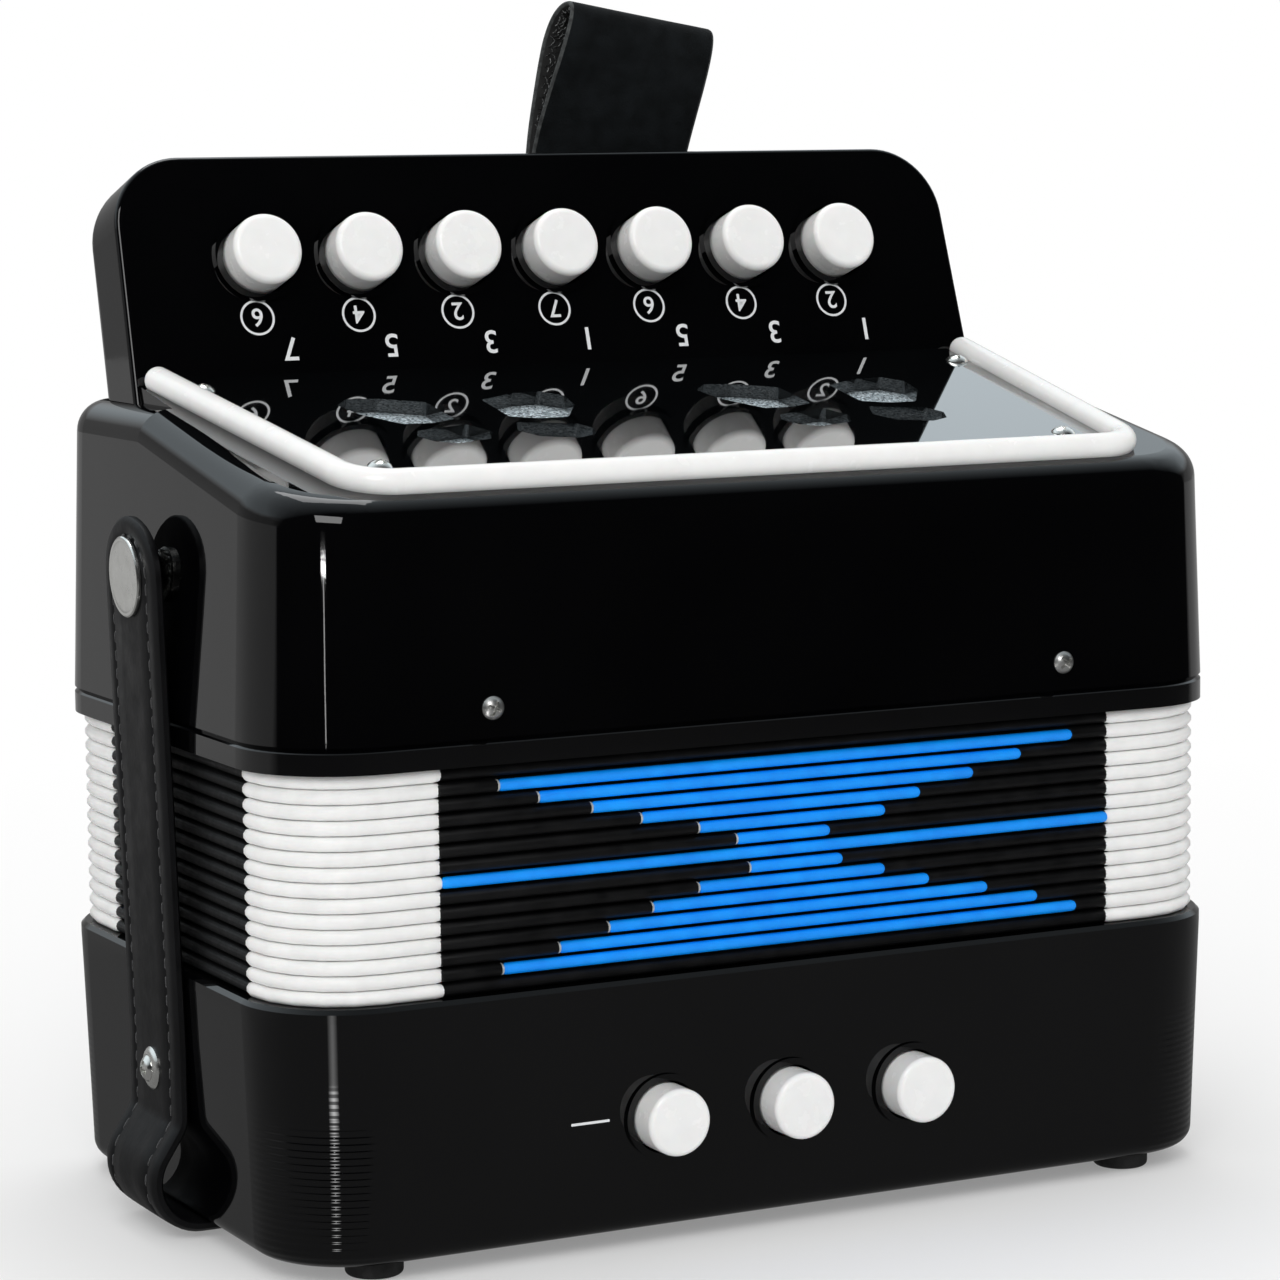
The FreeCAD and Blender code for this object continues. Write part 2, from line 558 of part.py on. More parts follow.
def ring_wire(half_x, half_y, radius, level):
    """A level rounded rectangle as a wire, with matching points on every level."""
    across = half_x - radius
    along = half_y - radius
    edges = []
    corners = ((across, along), (-across, along), (-across, -along), (across, -along))
    last = Vector(across + radius, -along, level)
    for quarter, (x, y) in enumerate(corners):
        start = quarter * math.pi / 2
        points = [Vector(x + radius * math.cos(start + turn), y + radius * math.sin(start + turn), level)
                  for turn in (0, math.pi / 4, math.pi / 2)]
        edges.append(Part.LineSegment(last, points[0]).toShape())
        edges.append(Part.Arc(*points).toShape())
        last = points[2]
    return Part.Wire(edges)


def make_bellows():
    """Fifteen folds with flat crests, hollow inside, cut into four sides and four corner pieces."""
    half_x = number("casing_width / 2 - bellows_inset")
    half_y = number("casing_depth / 2 - bellows_inset")
    radius = number("corner_radius - bellows_inset")
    depth = number("fold_depth")
    foot = number(BELLOWS_FOOT)
    pitch = number("bellows_height") / FOLDS
    crest = number("fold_crest")
    valley = (pitch - crest) * VALLEY_SHARE
    wires = [ring_wire(half_x - depth, half_y - depth, radius - depth, foot)]
    for fold in range(FOLDS):
        low = foot + fold * pitch
        wires.append(ring_wire(half_x, half_y, radius, low + valley))
        wires.append(ring_wire(half_x, half_y, radius, low + valley + crest))
        wires.append(ring_wire(half_x - depth, half_y - depth, radius - depth, low + pitch))
    outer = Part.makeLoft(wires, True, True)
    wall = number("bellows_wall")
    top = foot + number("bellows_height")
    inner = Part.makeLoft([ring_wire(half_x - wall, half_y - wall, radius - wall, foot),
                           ring_wire(half_x - wall, half_y - wall, radius - wall, top)], True, True)
    shell = outer.cut(inner)
    full_x = number("casing_width")
    full_y = number("casing_depth")
    edge_x = number("casing_width / 2 - tape_reach_front")
    edge_low = number("-casing_depth / 2 + tape_reach_side_front")
    edge_high = number("casing_depth / 2 - tape_reach_side_back")
    height = top - foot
    across = Part.makeBox(2 * edge_x, 2 * full_y, height, Vector(-edge_x, -full_y, foot))
    along = Part.makeBox(2 * full_x, edge_high - edge_low, height, Vector(-full_x, edge_low, foot))
    solid("bellows_folds", shell.common(across.fuse(along)))
    solid("bellows_corners", shell.cut(across.fuse(along)))


def slope_profile(lower):
    """Corners, in Y and Z, of what lies over the sloping top and the flat land behind it."""
    rise = "(%s + slope_rise - %s)" % (TREBLE_FLOOR, lower)
    land = "(%s + land_rise - %s)" % (TREBLE_FLOOR, lower)
    turn = "(land_rise - slope_rise) / tan(slope_angle)"
    high = "%s + land_rise + block_margin * 2" % TREBLE_FLOOR
    return (("-casing_depth", rise + " - casing_depth * tan(slope_angle)"), (turn, land),
            ("casing_depth", land), ("casing_depth", high), ("-casing_depth", high))


def treble_block(label, inset, lower):
    """The treble casing's block: drafted, its top cut to the slope and the land, with rounded edges."""
    body = new_body(label)
    outline = new_sketch(body, "XY_Plane", TREBLE_FLOOR)
    rounded(outline, "casing_width - 2 * %s" % inset, "casing_depth - 2 * %s" % inset,
            "corner_radius - %s" % inset)
    pad(body, outline, "land_rise + block_margin", taper="-draft_angle")
    over = polygon(new_sketch(body, "YZ_Plane"), slope_profile(lower))
    pocket(body, over, "casing_width + cut_overrun", both=True)
    turn = number("(land_rise - slope_rise) / tan(slope_angle)")
    front_level = number("%s + slope_rise - %s - casing_depth / 2 * tan(slope_angle)" % (
        TREBLE_FLOOR, lower))
    near = number("fit_gap")

    def on_top(edge):
        box = edge.BoundBox
        is_turn = abs(box.YMin - turn) < near and abs(box.YMax - turn) < near
        return box.ZMin > front_level - near and not is_turn
    round_edges(body, on_top, "top_radius - %s" % inset)
    return body


def make_treble_casing():
    """Moulded casing with a sloping top, a raised seat for the grille, and a well for the keyboard box."""
    body = treble_block("treble_outer", "0", "0")
    round_edges(body, at_level(TREBLE_FLOOR), "seam_chamfer", "PartDesign::Chamfer")
    seat = new_sketch(body, "YZ_Plane")
    back = "key_foot_y + key_depth / 2"
    top = TREBLE_FLOOR + " + slope_rise + (%s) * tan(slope_angle)"
    polygon(seat, (("(land_rise - slope_rise) / tan(slope_angle)", TREBLE_FLOOR + " + land_rise"),
                   (back, TREBLE_FLOOR + " + land_rise - wall"), (back, top % back)))
    pad(body, seat, "2 * (bead_half_back + bead_radius)", both=True)
    core = treble_block("treble_core", "wall", "wall")
    well = block("treble_well", "2 * (key_half_bottom + fit_gap)", "key_height", "key_depth + 2 * fit_gap",
                 KEYBOARD.multiply(place("-key_half_bottom - fit_gap", "-key_sink", "-key_depth - fit_gap")))
    window = block("grille_window", "2 * window_half", "window_front + window_back", "window_deep",
                   SLOPE.multiply(place("-window_half", "-window_front", "wall - window_deep")))
    tools = [core, well, window]
    for right in (-1, 1):
        along_y = place("%d * screw_reach_x" % right, "-casing_depth", TREBLE_FLOOR + " + screw_rise", -90)
        tools.append(cylinder("screw_way", "screw_shank_radius + screw_fit", "2 * casing_depth", along_y))
    stud_rise = "strap_hinge_rise + snap_height"
    along_x = place("-casing_width", 0, stud_rise, 90, (0, 1, 0))
    tools.append(cylinder("stud_way", "snap_post_radius + screw_fit", "2 * casing_width", along_x))
    for x, y in plate_screw_places():
        tools.append(cylinder("plate_screw_way", "plate_screw_shank + screw_fit", "2 * plate_screw_length",
                              SLOPE.multiply(place(x, y, "-2 * plate_screw_length"))))
    return keep("treble_casing", cut("treble_casing", body, tools))


def plate_screw_places():
    return [("%d * plate_screw_back_x" % right, "plate_screw_back_y") for right in (-1, 1)] + [
            ("%d * plate_screw_front_x" % right, "-plate_screw_front_y") for right in (-1, 1)]


def bead_half(y):
    """Half the bead's width at one place along the slope, as a formula."""
    return "(bead_half_front + (%s + bead_front) * %s)" % (y, BEAD_SLANT)


def cut_wings(body):
    """Two groups of four cut-outs, each group like a butterfly: two big wings behind and two small ones."""
    wings = (("back", BACK_WING_SHARES), ("front", FRONT_WING_SHARES))
    for group_side in (-1, 1):
        for side in (-1, 1):
            for name, shares in wings:
                outline = [("%d * group_reach + %d * (%s_wing_x + %g * %s_wing_width)" % (
                            group_side, side, name, across, name),
                            "%s_wing_y + %g * %s_wing_height" % (name, up, name)) for across, up in shares]
                wing = polygon(new_sketch(body, "XY_Plane", "-plate_sink"), outline)
                pocket(body, wing, "plate_sink + plate_thickness", up=True)
    sunk = number("-plate_sink")
    full = number("plate_sink + plate_thickness")
    reach = number("group_reach + back_wing_x + back_wing_width")
    near = number("fit_gap")

    def wing_corner(edge):
        box = edge.BoundBox
        upright = abs(box.ZLength - full) < near and box.XLength + box.YLength < near
        return upright and abs(box.ZMin - sunk) < near and abs(box.XMin) < reach and \
            box.YMin > number("-window_front + fit_gap") and box.YMax < number("window_back - fit_gap")
    round_edges(body, wing_corner, "wing_edge")


def make_grille():
    """Mirror plate with two groups of cut-outs, sunk into the window, the cloth below and its screws."""
    body = new_body("grille_plate")
    inset = "(bead_radius - plate_lap)"
    front = "-(bead_front - %s)" % inset
    back = "bead_back"
    half_front = "(%s - %s)" % (bead_half(front), inset)
    half_back = "(%s - %s)" % (bead_half(back), inset)
    polygon(new_sketch(body, "XY_Plane"), (("-" + half_front, front), (half_front, front),
                                           (half_back, back), ("-" + half_back, back)))
    pad(body, body.Group[-1], "plate_thickness")
    level = number(front)
    near = number("fit_gap")

    def front_corner(edge):
        return edge.BoundBox.ZLength > edge.BoundBox.XLength and edge.BoundBox.YMax < level + near
    round_edges(body, front_corner, "plate_corner")
    tray = new_sketch(body, "XY_Plane")
    box_outline(tray, "-window_half + fit_gap", "-window_front + fit_gap", "window_half - fit_gap",
                "window_back - fit_gap")
    pad(body, tray, "plate_sink", down=True)
    cut_wings(body)
    screws = new_sketch(body, "XY_Plane")
    for x, y in plate_screw_places():
        circle(screws, x, y, "plate_screw_shank + screw_fit")
    pocket(body, screws, "plate_thickness", up=True)
    keep("grille_plate", body, SLOPE)
    corner = place("-window_half + fit_gap", "-window_front + fit_gap", "-plate_sink - cloth_thickness")
    cloth = block("grille_cloth", "2 * (window_half - fit_gap)", "window_front + window_back - 2 * fit_gap",
                  "cloth_thickness", SLOPE.multiply(corner))
    keep("grille_cloth", cloth)
    dome = document.addObject("Part::Sphere", "plate_screw_dome")
    bind(dome, "Radius", "plate_dome_radius")
    dome.Angle1 = 0
    shank = cylinder("plate_screw_pin", "plate_screw_shank", "plate_screw_length",
                     place(0, 0, "-plate_screw_length"))
    trim = cylinder("plate_screw_trim", "plate_screw_radius", "plate_screw_rise", place())
    low_dome = document.addObject("Part::Common", "plate_screw_head")
    low_dome.Base = dome
    low_dome.Tool = trim
    screw = fuse("plate_screw", [low_dome, shank])
    copies("grille_screws", screw, [SLOPE.multiply(place(x, y, "plate_thickness"))
                                    for x, y in plate_screw_places()])


def make_bead():
    """White bead round three sides of the plate, flat where it lies on the casing, with round ends."""
    front = number("-bead_front")
    back = number("bead_back")
    wide = number("bead_half_back")
    narrow = number("bead_half_front")
    corner = number("bead_corner")
    lean = math.atan2(wide - narrow, back - front)
    turn = math.pi / 2 - lean
    cut_back = corner * math.tan(turn / 2)
    level = number("bead_lift")
    left_start = Vector(-wide, back, level)
    left_end = Vector(-narrow - cut_back * math.sin(lean), front + cut_back * math.cos(lean), level)
    front_start = Vector(-narrow + cut_back, front, level)
    middle = Vector(-narrow + cut_back, front + corner, level)
    sag = math.pi + lean + turn / 2
    bend = middle + Vector(corner * math.cos(sag), corner * math.sin(sag), 0)

    def mirrored(point):
        return Vector(-point.x, point.y, point.z)
    edges = [Part.LineSegment(left_start, left_end), Part.Arc(left_end, bend, front_start),
             Part.LineSegment(front_start, mirrored(front_start)),
             Part.Arc(mirrored(front_start), mirrored(bend), mirrored(left_end)),
             Part.LineSegment(mirrored(left_end), mirrored(left_start))]
    path = Part.Wire([edge.toShape() for edge in edges])
    radius = number("bead_radius")
    start = Vector(math.sin(lean), -math.cos(lean), 0)
    ring = Part.Wire(Part.makeCircle(radius, left_start, start))
    bead = path.makePipeShell([ring], True, False)
    ends = [edge for edge in bead.Edges if edge.BoundBox.YMin > back - radius * 2 and edge.Curve.TypeId ==
            "Part::GeomCircle" and abs(edge.Length - 2 * math.pi * radius) < number("fit_gap")]
    bead = bead.makeFillet(radius * BEAD_END_SHARE, ends)
    under = Part.makeBox(4 * wide, 4 * wide, 2 * radius, Vector(-2 * wide, -2 * wide, -2 * radius))
    solid("grille_trim", bead.cut(under), SLOPE)


def key_outline(sketch, inset, low):
    """The keyboard box seen from its front: sides that lean in, and round top corners."""
    slant = "((key_half_bottom - key_half_top) / key_height)"
    half_low = "(key_half_bottom - %s - (%s) * %s)" % (inset, low, slant)
    radius = "(key_top_radius - %s)" % inset
    up = "(key_height - key_top_radius)"
    across = "(key_half_top + key_top_radius * %s - key_top_radius)" % slant
    turn = number(radius)
    right_hub = Vector(number(across), number(up), 0)
    left_hub = Vector(-right_hub.x, right_hub.y, 0)
    right_foot = Vector(number(half_low), number(low), 0)
    left_foot = Vector(-right_foot.x, right_foot.y, 0)
    right = Part.ArcOfCircle(Part.Circle(right_hub, Vector(0, 0, 1), turn), 0, math.pi / 2)
    left = Part.ArcOfCircle(Part.Circle(left_hub, Vector(0, 0, 1), turn), math.pi / 2, math.pi)
    sketch.addGeometry([right, left, Part.LineSegment(left_foot, right_foot),
                        Part.LineSegment(right_foot, right.StartPoint),
                        Part.LineSegment(right.EndPoint, left.StartPoint),
                        Part.LineSegment(left.EndPoint, left_foot)], False)
    joins = (("Coincident", 2, 3), ("Tangent", 3, 0), ("Tangent", 0, 4), ("Tangent", 4, 1),
             ("Tangent", 1, 5), ("Coincident", 5, 2))
    for kind, before, after in joins:
        sketch.addConstraint(Sketcher.Constraint(kind, before, 2, after, 1))
    for arc, side in ((0, ""), (1, "-")):
        datum(sketch, "Radius", (arc,), radius)
        datum(sketch, "DistanceX", (-1, 1, arc, 3), side + across)
        datum(sketch, "DistanceY", (-1, 1, arc, 3), up)
    for point, side in ((1, "-"), (2, "")):
        datum(sketch, "DistanceX", (-1, 1, 2, point), side + half_low)
        datum(sketch, "DistanceY", (-1, 1, 2, point), low)
    return sketch


def make_keyboard():
    """Front board with collared holes and screw bosses, and the rounded back shell that closes it."""
    low = "-key_tuck"
    front = new_body("keyboard_front")
    key_outline(new_sketch(front, "XY_Plane"), "0", low)
    pad(front, front.Group[-1], "key_front_depth", down=True)
    round_edges(front, lambda edge: at_level(0)(edge) and edge.BoundBox.YMax > 0, "key_edge_radius")
    collars = new_sketch(front, "XY_Plane", "-key_edge_radius")
    holes = new_sketch(front, "XY_Plane", "key_collar_rise")
    for step in range(KEYS):
        across = "%g * key_pitch" % (step - (KEYS - 1) / 2)
        circle(collars, across, "key_button_height", "key_button_radius + key_button_fit + key_collar_rim")
        circle(holes, across, "key_button_height", "key_button_radius + key_button_fit")
    pad(front, collars, "key_collar_rise + key_edge_radius")
    hollow = new_sketch(front, "XY_Plane", "-wall")
    key_outline(hollow, "wall", low)
    pocket(front, hollow, "key_front_depth")
    pocket(front, holes, "wall + key_collar_rise + cut_overrun")
    bosses = new_sketch(front, "XY_Plane", "-wall / 2")
    bores = new_sketch(front, "XY_Plane", "-(key_depth - wall - fit_gap)")
    for right in (-1, 1):
        for height in ("key_boss_low", "key_boss_high"):
            circle(bosses, "%d * key_boss_x" % right, height, "key_boss_radius")
            circle(bores, "%d * key_boss_x" % right, height, "screw_shank_radius + screw_fit")
    pad(front, bosses, "key_depth - wall - wall / 2 - fit_gap", down=True)
    pocket(front, bores, "screw_length", up=True)
    keep("keyboard_front", front, KEYBOARD)
    back = new_body("keyboard_back")
    key_outline(new_sketch(back, "XY_Plane", "-key_front_depth"), "0", low)
    pad(back, back.Group[-1], "key_depth - key_front_depth", down=True)
    round_edges(back, lambda edge: at_level("-key_depth")(edge) and edge.BoundBox.YMax > 0,
                "key_back_radius")
    hollow = new_sketch(back, "XY_Plane", "-key_front_depth")
    key_outline(hollow, "wall", low)
    pocket(back, hollow, "key_depth - key_front_depth - wall")
    ways = new_sketch(back, "XY_Plane", "-key_depth / 2")
    for right in (-1, 1):
        for height in ("key_boss_low", "key_boss_high"):
            circle(ways, "%d * key_boss_x" % right, height, "screw_shank_radius + screw_fit")
    pocket(back, ways, "key_depth")
    strap = circle(new_sketch(back, "XY_Plane", "-key_depth / 2"), "thumb_x", "thumb_height",
                   "strap_screw_shank + screw_fit")
    pocket(back, strap, "key_depth")
    keep("keyboard_back", back, KEYBOARD)


def make_key(index, x):
    """One treble key: a button on a lever that turns on the axle and carries a pallet and its pad."""
    button = new_body("treble_button_%d" % index)
    profile = new_sketch(button, "XZ_Plane")
    arm = "-lever_depth + lever_arm / 2"
    polygon(profile, ((0, "key_button_out"), ("key_button_radius", "key_button_out"),
                      ("key_button_radius", "-key_button_in"), ("key_stem_radius", "-key_button_in"),
                      ("key_stem_radius", arm), (0, arm)))
    turned = button.newObject("PartDesign::Revolution", button.Name + "_turned")
    turned.Profile = profile
    turned.ReferenceAxis = (profile, ["V_Axis"])
    turned.Angle = 360
    button.Tip = turned
    document.recompute()
    round_edges(button, at_level("key_button_out"), "key_button_edge")
    keep("treble_button_%d" % index, button, KEYBOARD.multiply(place(x, "key_button_height", 0)))
    lever = new_body("key_lever_%d" % index)
    upper = new_sketch(lever, "YZ_Plane", 0, "-lean_angle")
    box_outline(upper, "-lever_arm / 2", 0, "lever_arm / 2", LEVER_LENGTH + " + lever_end")
    pad(lever, upper, "lever_width", both=True)
    forward = new_sketch(lever, "YZ_Plane")
    box_outline(forward, "-lever_reach", "-lever_arm / 2", 0, "lever_arm / 2")
    pad(lever, forward, "lever_width", both=True)
    pad(lever, circle(new_sketch(lever, "YZ_Plane"), 0, 0, "lever_hub_radius"), "lever_width", both=True)
    drop = "(pivot_rise - seal_gap - pad_thickness)"
    stem = circle(new_sketch(lever, "XY_Plane"), 0, "-lever_reach", "pallet_stem_radius")
    pad(lever, stem, drop, down=True)
    pallet = new_sketch(lever, "XY_Plane", "-" + drop)
    pad(lever, circle(pallet, 0, "-lever_reach", "pallet_radius"), "pallet_thickness")
    bore = circle(new_sketch(lever, "YZ_Plane"), 0, 0, "key_axle_radius + axle_fit")
    pocket(lever, bore, "lever_width + cut_overrun", both=True)
    pivot = FreeCAD.Placement(Vector(x, PIVOT.y, PIVOT.z), FreeCAD.Rotation())
    keep("key_lever_%d" % index, lever, pivot)
    pad_place = place(x, PIVOT.y - number("lever_reach"), BOARD_TOP + " + seal_gap")
    keep("key_pad_%d" % index, cylinder("key_pad_%d" % index, "pallet_radius", "pad_thickness", pad_place))


def make_spring_comb(label, places, hub, back_y, hub_y, base_z, hub_z, side):
    """A strip screwed to the sound board, with one springy finger to the back of each lever's hub."""
    thickness = number("spring_thickness")
    low = base_z if side > 0 else base_z - thickness
    strip = block(label + "_strip", "%g + 2 * spring_width" % (places[-1] - places[0]), "spring_strip",
                  "spring_thickness", place("%g - spring_width" % places[0], back_y, low))
    start = Vector(0, back_y + number("spring_strip") * SPRING_TIP_SHARE, low + thickness)
    clear = hub + number("spring_clear") + thickness
    goal = Vector(0, hub_y + clear, hub_z)
    run = goal - start
    angle = math.degrees(math.atan2(run.z, run.y))
    items = [strip]
    for x in places:
        rest = FreeCAD.Placement(start + Vector(x - number("spring_width") / 2, 0, 0),
                                 FreeCAD.Rotation(Vector(1, 0, 0), angle))
        items.append(block(label + "_finger", "spring_width", "%g" % run.Length, "spring_thickness", rest))
    return keep(label, fuse(label, items))


def make_screws():
    """The small domed screws: two in the front, two in the back and four behind the keyboard."""
    dome = document.addObject("Part::Sphere", "screw_dome")
    bind(dome, "Radius", "screw_dome_radius")
    trim = cylinder("screw_trim", "screw_head_radius", "screw_dome_radius",
                    place(0, 0, "screw_dome_sink"))
    head = document.addObject("Part::Common", "screw_head")
    head.Base = dome
    head.Tool = trim
    shank = cylinder("screw_shank", "screw_shank_radius", "screw_length",
                     place(0, 0, "screw_dome_sink - screw_length"))
    screw = fuse("small_screw", [head, shank])
    screw.Placement = place(0, 0, "-screw_dome_sink")
    face = "casing_depth / 2 - tan(draft_angle) * (screw_rise - screw_head_radius)"
    seats = []
    for right in (-1, 1):
        across = "%d * screw_reach_x" % right
        seats.append(place(across, "-(%s)" % face, TREBLE_FLOOR + " + screw_rise", 90))
        seats.append(place(across, face, TREBLE_FLOOR + " + screw_rise", -90))
        for height in ("key_boss_low", "key_boss_high"):
            seats.append(KEYBOARD.multiply(place("%d * key_boss_x" % right, height, "-key_depth", 180)))
    copies("treble_screws", screw, seats)


def strap_frame(side):
    """A side strap's frame: the hinge line at its foot, local +X outwards, +Z up along the strap."""
    foot = Vector(side * number("casing_width / 2 + strap_stand"), 0, number("strap_hinge_rise"))
    lean = FreeCAD.Rotation(Vector(0, 1, 0), number("strap_lean_angle"))
    facing = FreeCAD.Rotation(Vector(0, 0, 1), 0 if side > 0 else 180)
    return FreeCAD.Placement(foot, facing.multiply(lean))


def make_side_strap(label, side):
    """Strap with a round upper end and a round foot on its hinge line, and its snap cap with a socket."""
    body = new_body(label + "_strap")
    half = "strap_width / 2"
    foot = "-strap_thickness / 2"
    box_outline(new_sketch(body, "YZ_Plane"), "-" + half, foot, half, "snap_height + " + half)
    pad(body, body.Group[-1], "strap_thickness", both=True)
    round_edges(body, lambda edge: edge.BoundBox.XLength > edge.BoundBox.YLength + edge.BoundBox.ZLength and
                edge.BoundBox.ZMin > number("snap_height"), half + " - hair")
    round_edges(body, at_level(foot), "strap_thickness / 2 - hair")
    hole = circle(new_sketch(body, "YZ_Plane"), 0, "snap_height", "snap_post_radius + screw_fit")
    pocket(body, hole, "strap_thickness + cut_overrun", both=True)
    keep(label + "_strap", body, strap_frame(side))
    snap = new_body(label + "_snap")
    face = "strap_thickness / 2"
    profile = new_sketch(snap, "XZ_Plane")
    polygon(profile, ((face + " + snap_cap", 0), (face + " + snap_cap", "snap_radius"),
                      (face, "snap_radius"), (face, "snap_post_radius"), ("-" + face, "snap_post_radius"),
                      ("-" + face, "socket_radius"), ("-%s - socket_height" % face, "socket_radius"),
                      ("-%s - socket_height" % face, "socket_bore"),
                      ("-%s - socket_height + socket_depth" % face, "socket_bore"),
                      ("-%s - socket_height + socket_depth" % face, 0)))
    turned = snap.newObject("PartDesign::Revolution", label + "_snap_turned")
    turned.Profile = profile
    turned.ReferenceAxis = (profile, ["H_Axis"])
    turned.Angle = 360
    snap.Tip = turned
    document.recompute()
    round_edges(snap, at_level(face + " + snap_cap", "X"), "snap_cap_edge")
    keep(label + "_snap", snap, strap_frame(side).multiply(place(0, 0, "snap_height")))


def make_studs():
    """The two studs that the side straps snap on to, each riveted through the casing's wall."""
    rise = number("strap_hinge_rise + snap_height")
    wall_face = number("casing_width / 2 - tan(draft_angle) * (strap_hinge_rise + snap_height - "
                       "stud_flange_radius - %s)" % TREBLE_FLOOR)
    rim = strap_frame(1).multVec(Vector(number("-strap_thickness / 2 - socket_height"), 0,
                                        number("snap_height")))
    length = rim.x + number("stud_entry") - wall_face
    studs = []
    for side in (-1, 1):
        facing = FreeCAD.Rotation(Vector(0, 1, 0), side * 90)
        seat = FreeCAD.Placement(Vector(side * wall_face, 0, rise), facing)
        inside = wall_face - number("wall + stud_flange + fit_gap")
        root = FreeCAD.Placement(Vector(side * inside, 0, rise), facing)
        parts = [cylinder("stud_flange", "stud_flange_radius", "stud_flange", seat),
                 cylinder("stud_post", "stud_radius", "%.9g * wall" % (length / number("wall")), seat),
                 cylinder("stud_rivet", "snap_post_radius", "wall + 2 * stud_flange + fit_gap", root),
                 cylinder("stud_head", "stud_flange_radius", "stud_flange", root)]
        studs.append(fuse("snap_stud", parts))
    group("snap_studs", studs)


def make_hand_strap():
    """One strap from side to side, bulging beside the box and lying on the table under it."""
    thick = number("strap_thickness")
    x = number("casing_width / 2 + strap_stand")
    middle = number("casing_width / 2 - bulge_inset")
    radius = number("bulge_radius")
    low = thick / 2
    centre = Vector(middle, 0, low + radius)
    lift = math.radians(number("180 - bulge_lift_angle"))
    top = number("strap_hinge_rise - strap_thickness / 2 - strap_joint_gap")
    leave = centre + Vector(radius * math.cos(lift), 0, radius * math.sin(lift))
    heading = Vector(-math.sin(lift), 0, math.cos(lift))
    meet = leave + heading * ((leave.x - x) / math.sin(lift))
    blend = number("bulge_blend")
    run = blend * math.tan(lift / 2)

    def side_path(offset):
        """One face of the right half of the strap, from the top end to the middle of the underside."""
        bulge = radius + offset
        start = Vector(x + offset, 0, top)
        before = Vector(x + offset, 0, meet.z + run)
        away = meet - heading * run
        normal = Vector(math.cos(lift), 0, math.sin(lift)) * offset
        after = away + normal
        hub = Vector(x + blend, 0, meet.z + run)
        half_turn = math.pi + lift / 2
        swing = blend - offset
        bend = hub + Vector(swing * math.cos(half_turn), 0, swing * math.sin(half_turn))
        rim = centre + Vector(bulge * math.cos(lift), 0, bulge * math.sin(lift))
        side = centre + Vector(bulge, 0, 0)
        foot = centre + Vector(0, 0, -bulge)
        flank = centre + Vector(bulge * math.cos(-math.pi / 4), 0, bulge * math.sin(-math.pi / 4))
        over = centre + Vector(bulge * math.cos(lift / 2), 0, bulge * math.sin(lift / 2))
        return [Part.LineSegment(start, before), Part.Arc(before, bend, after), Part.LineSegment(after, rim),
                Part.Arc(rim, over, side), Part.Arc(side, flank, foot),
                Part.LineSegment(foot, Vector(0, 0, foot.z))], start
    edges = []
    outer, outer_start = side_path(thick / 2)
    inner, inner_start = side_path(-thick / 2)
    edges = [edge.toShape() for edge in outer + inner]
    flip = FreeCAD.Matrix()
    flip.scale(-1, 1, 1)
    half = [edge.transformGeometry(flip) for edge in edges]
    ends = [Part.LineSegment(outer_start, inner_start).toShape()]
    ends.append(ends[0].transformGeometry(flip))
    wire = Part.Wire(Part.__sortEdges__(edges + half + ends))
    band = Part.Face(wire).extrude(Vector(0, number("strap_width"), 0))
    band.translate(Vector(0, -number("strap_width") / 2, 0))
    rise = number("strap_screw_rise")
    way = Part.makeCylinder(number("strap_screw_shank + screw_fit"), 4 * x, Vector(-2 * x, 0, rise),
                            Vector(1, 0, 0))
    solid("hand_strap", band.cut(way))
    screws = []
    washers = []
    for side in (-1, 1):
        face = side * (x + thick / 2)
        facing = FreeCAD.Rotation(Vector(0, 1, 0), side * 90)
        seat = FreeCAD.Placement(Vector(face, 0, rise), facing)
        head = FreeCAD.Placement(Vector(face + side * number("washer_thickness"), 0, rise), facing)
        ring = cut("washer_ring", cylinder("washer_disc", "washer_radius", "washer_thickness", seat),
                   [cylinder("washer_way", "strap_screw_shank + screw_fit", "washer_thickness", seat)])
        washers.append(ring)
        dome = document.addObject("Part::Sphere", "strap_screw_dome")
        bind(dome, "Radius", "strap_screw_radius")
        dome.Angle1 = 0
        trim = cylinder("strap_screw_trim", "strap_screw_radius", "strap_screw_head", place())
        low_dome = document.addObject("Part::Common", "strap_screw_head")
        low_dome.Base = dome
        low_dome.Tool = trim
        shank = cylinder("strap_screw_pin", "strap_screw_shank", "strap_screw_length",
                         place(0, 0, "-strap_screw_length"))
        screw = fuse("strap_screw", [low_dome, shank])
        screw.Placement = head
        screws.append(screw)
    group("strap_washers", washers)
    group("strap_screws", screws)


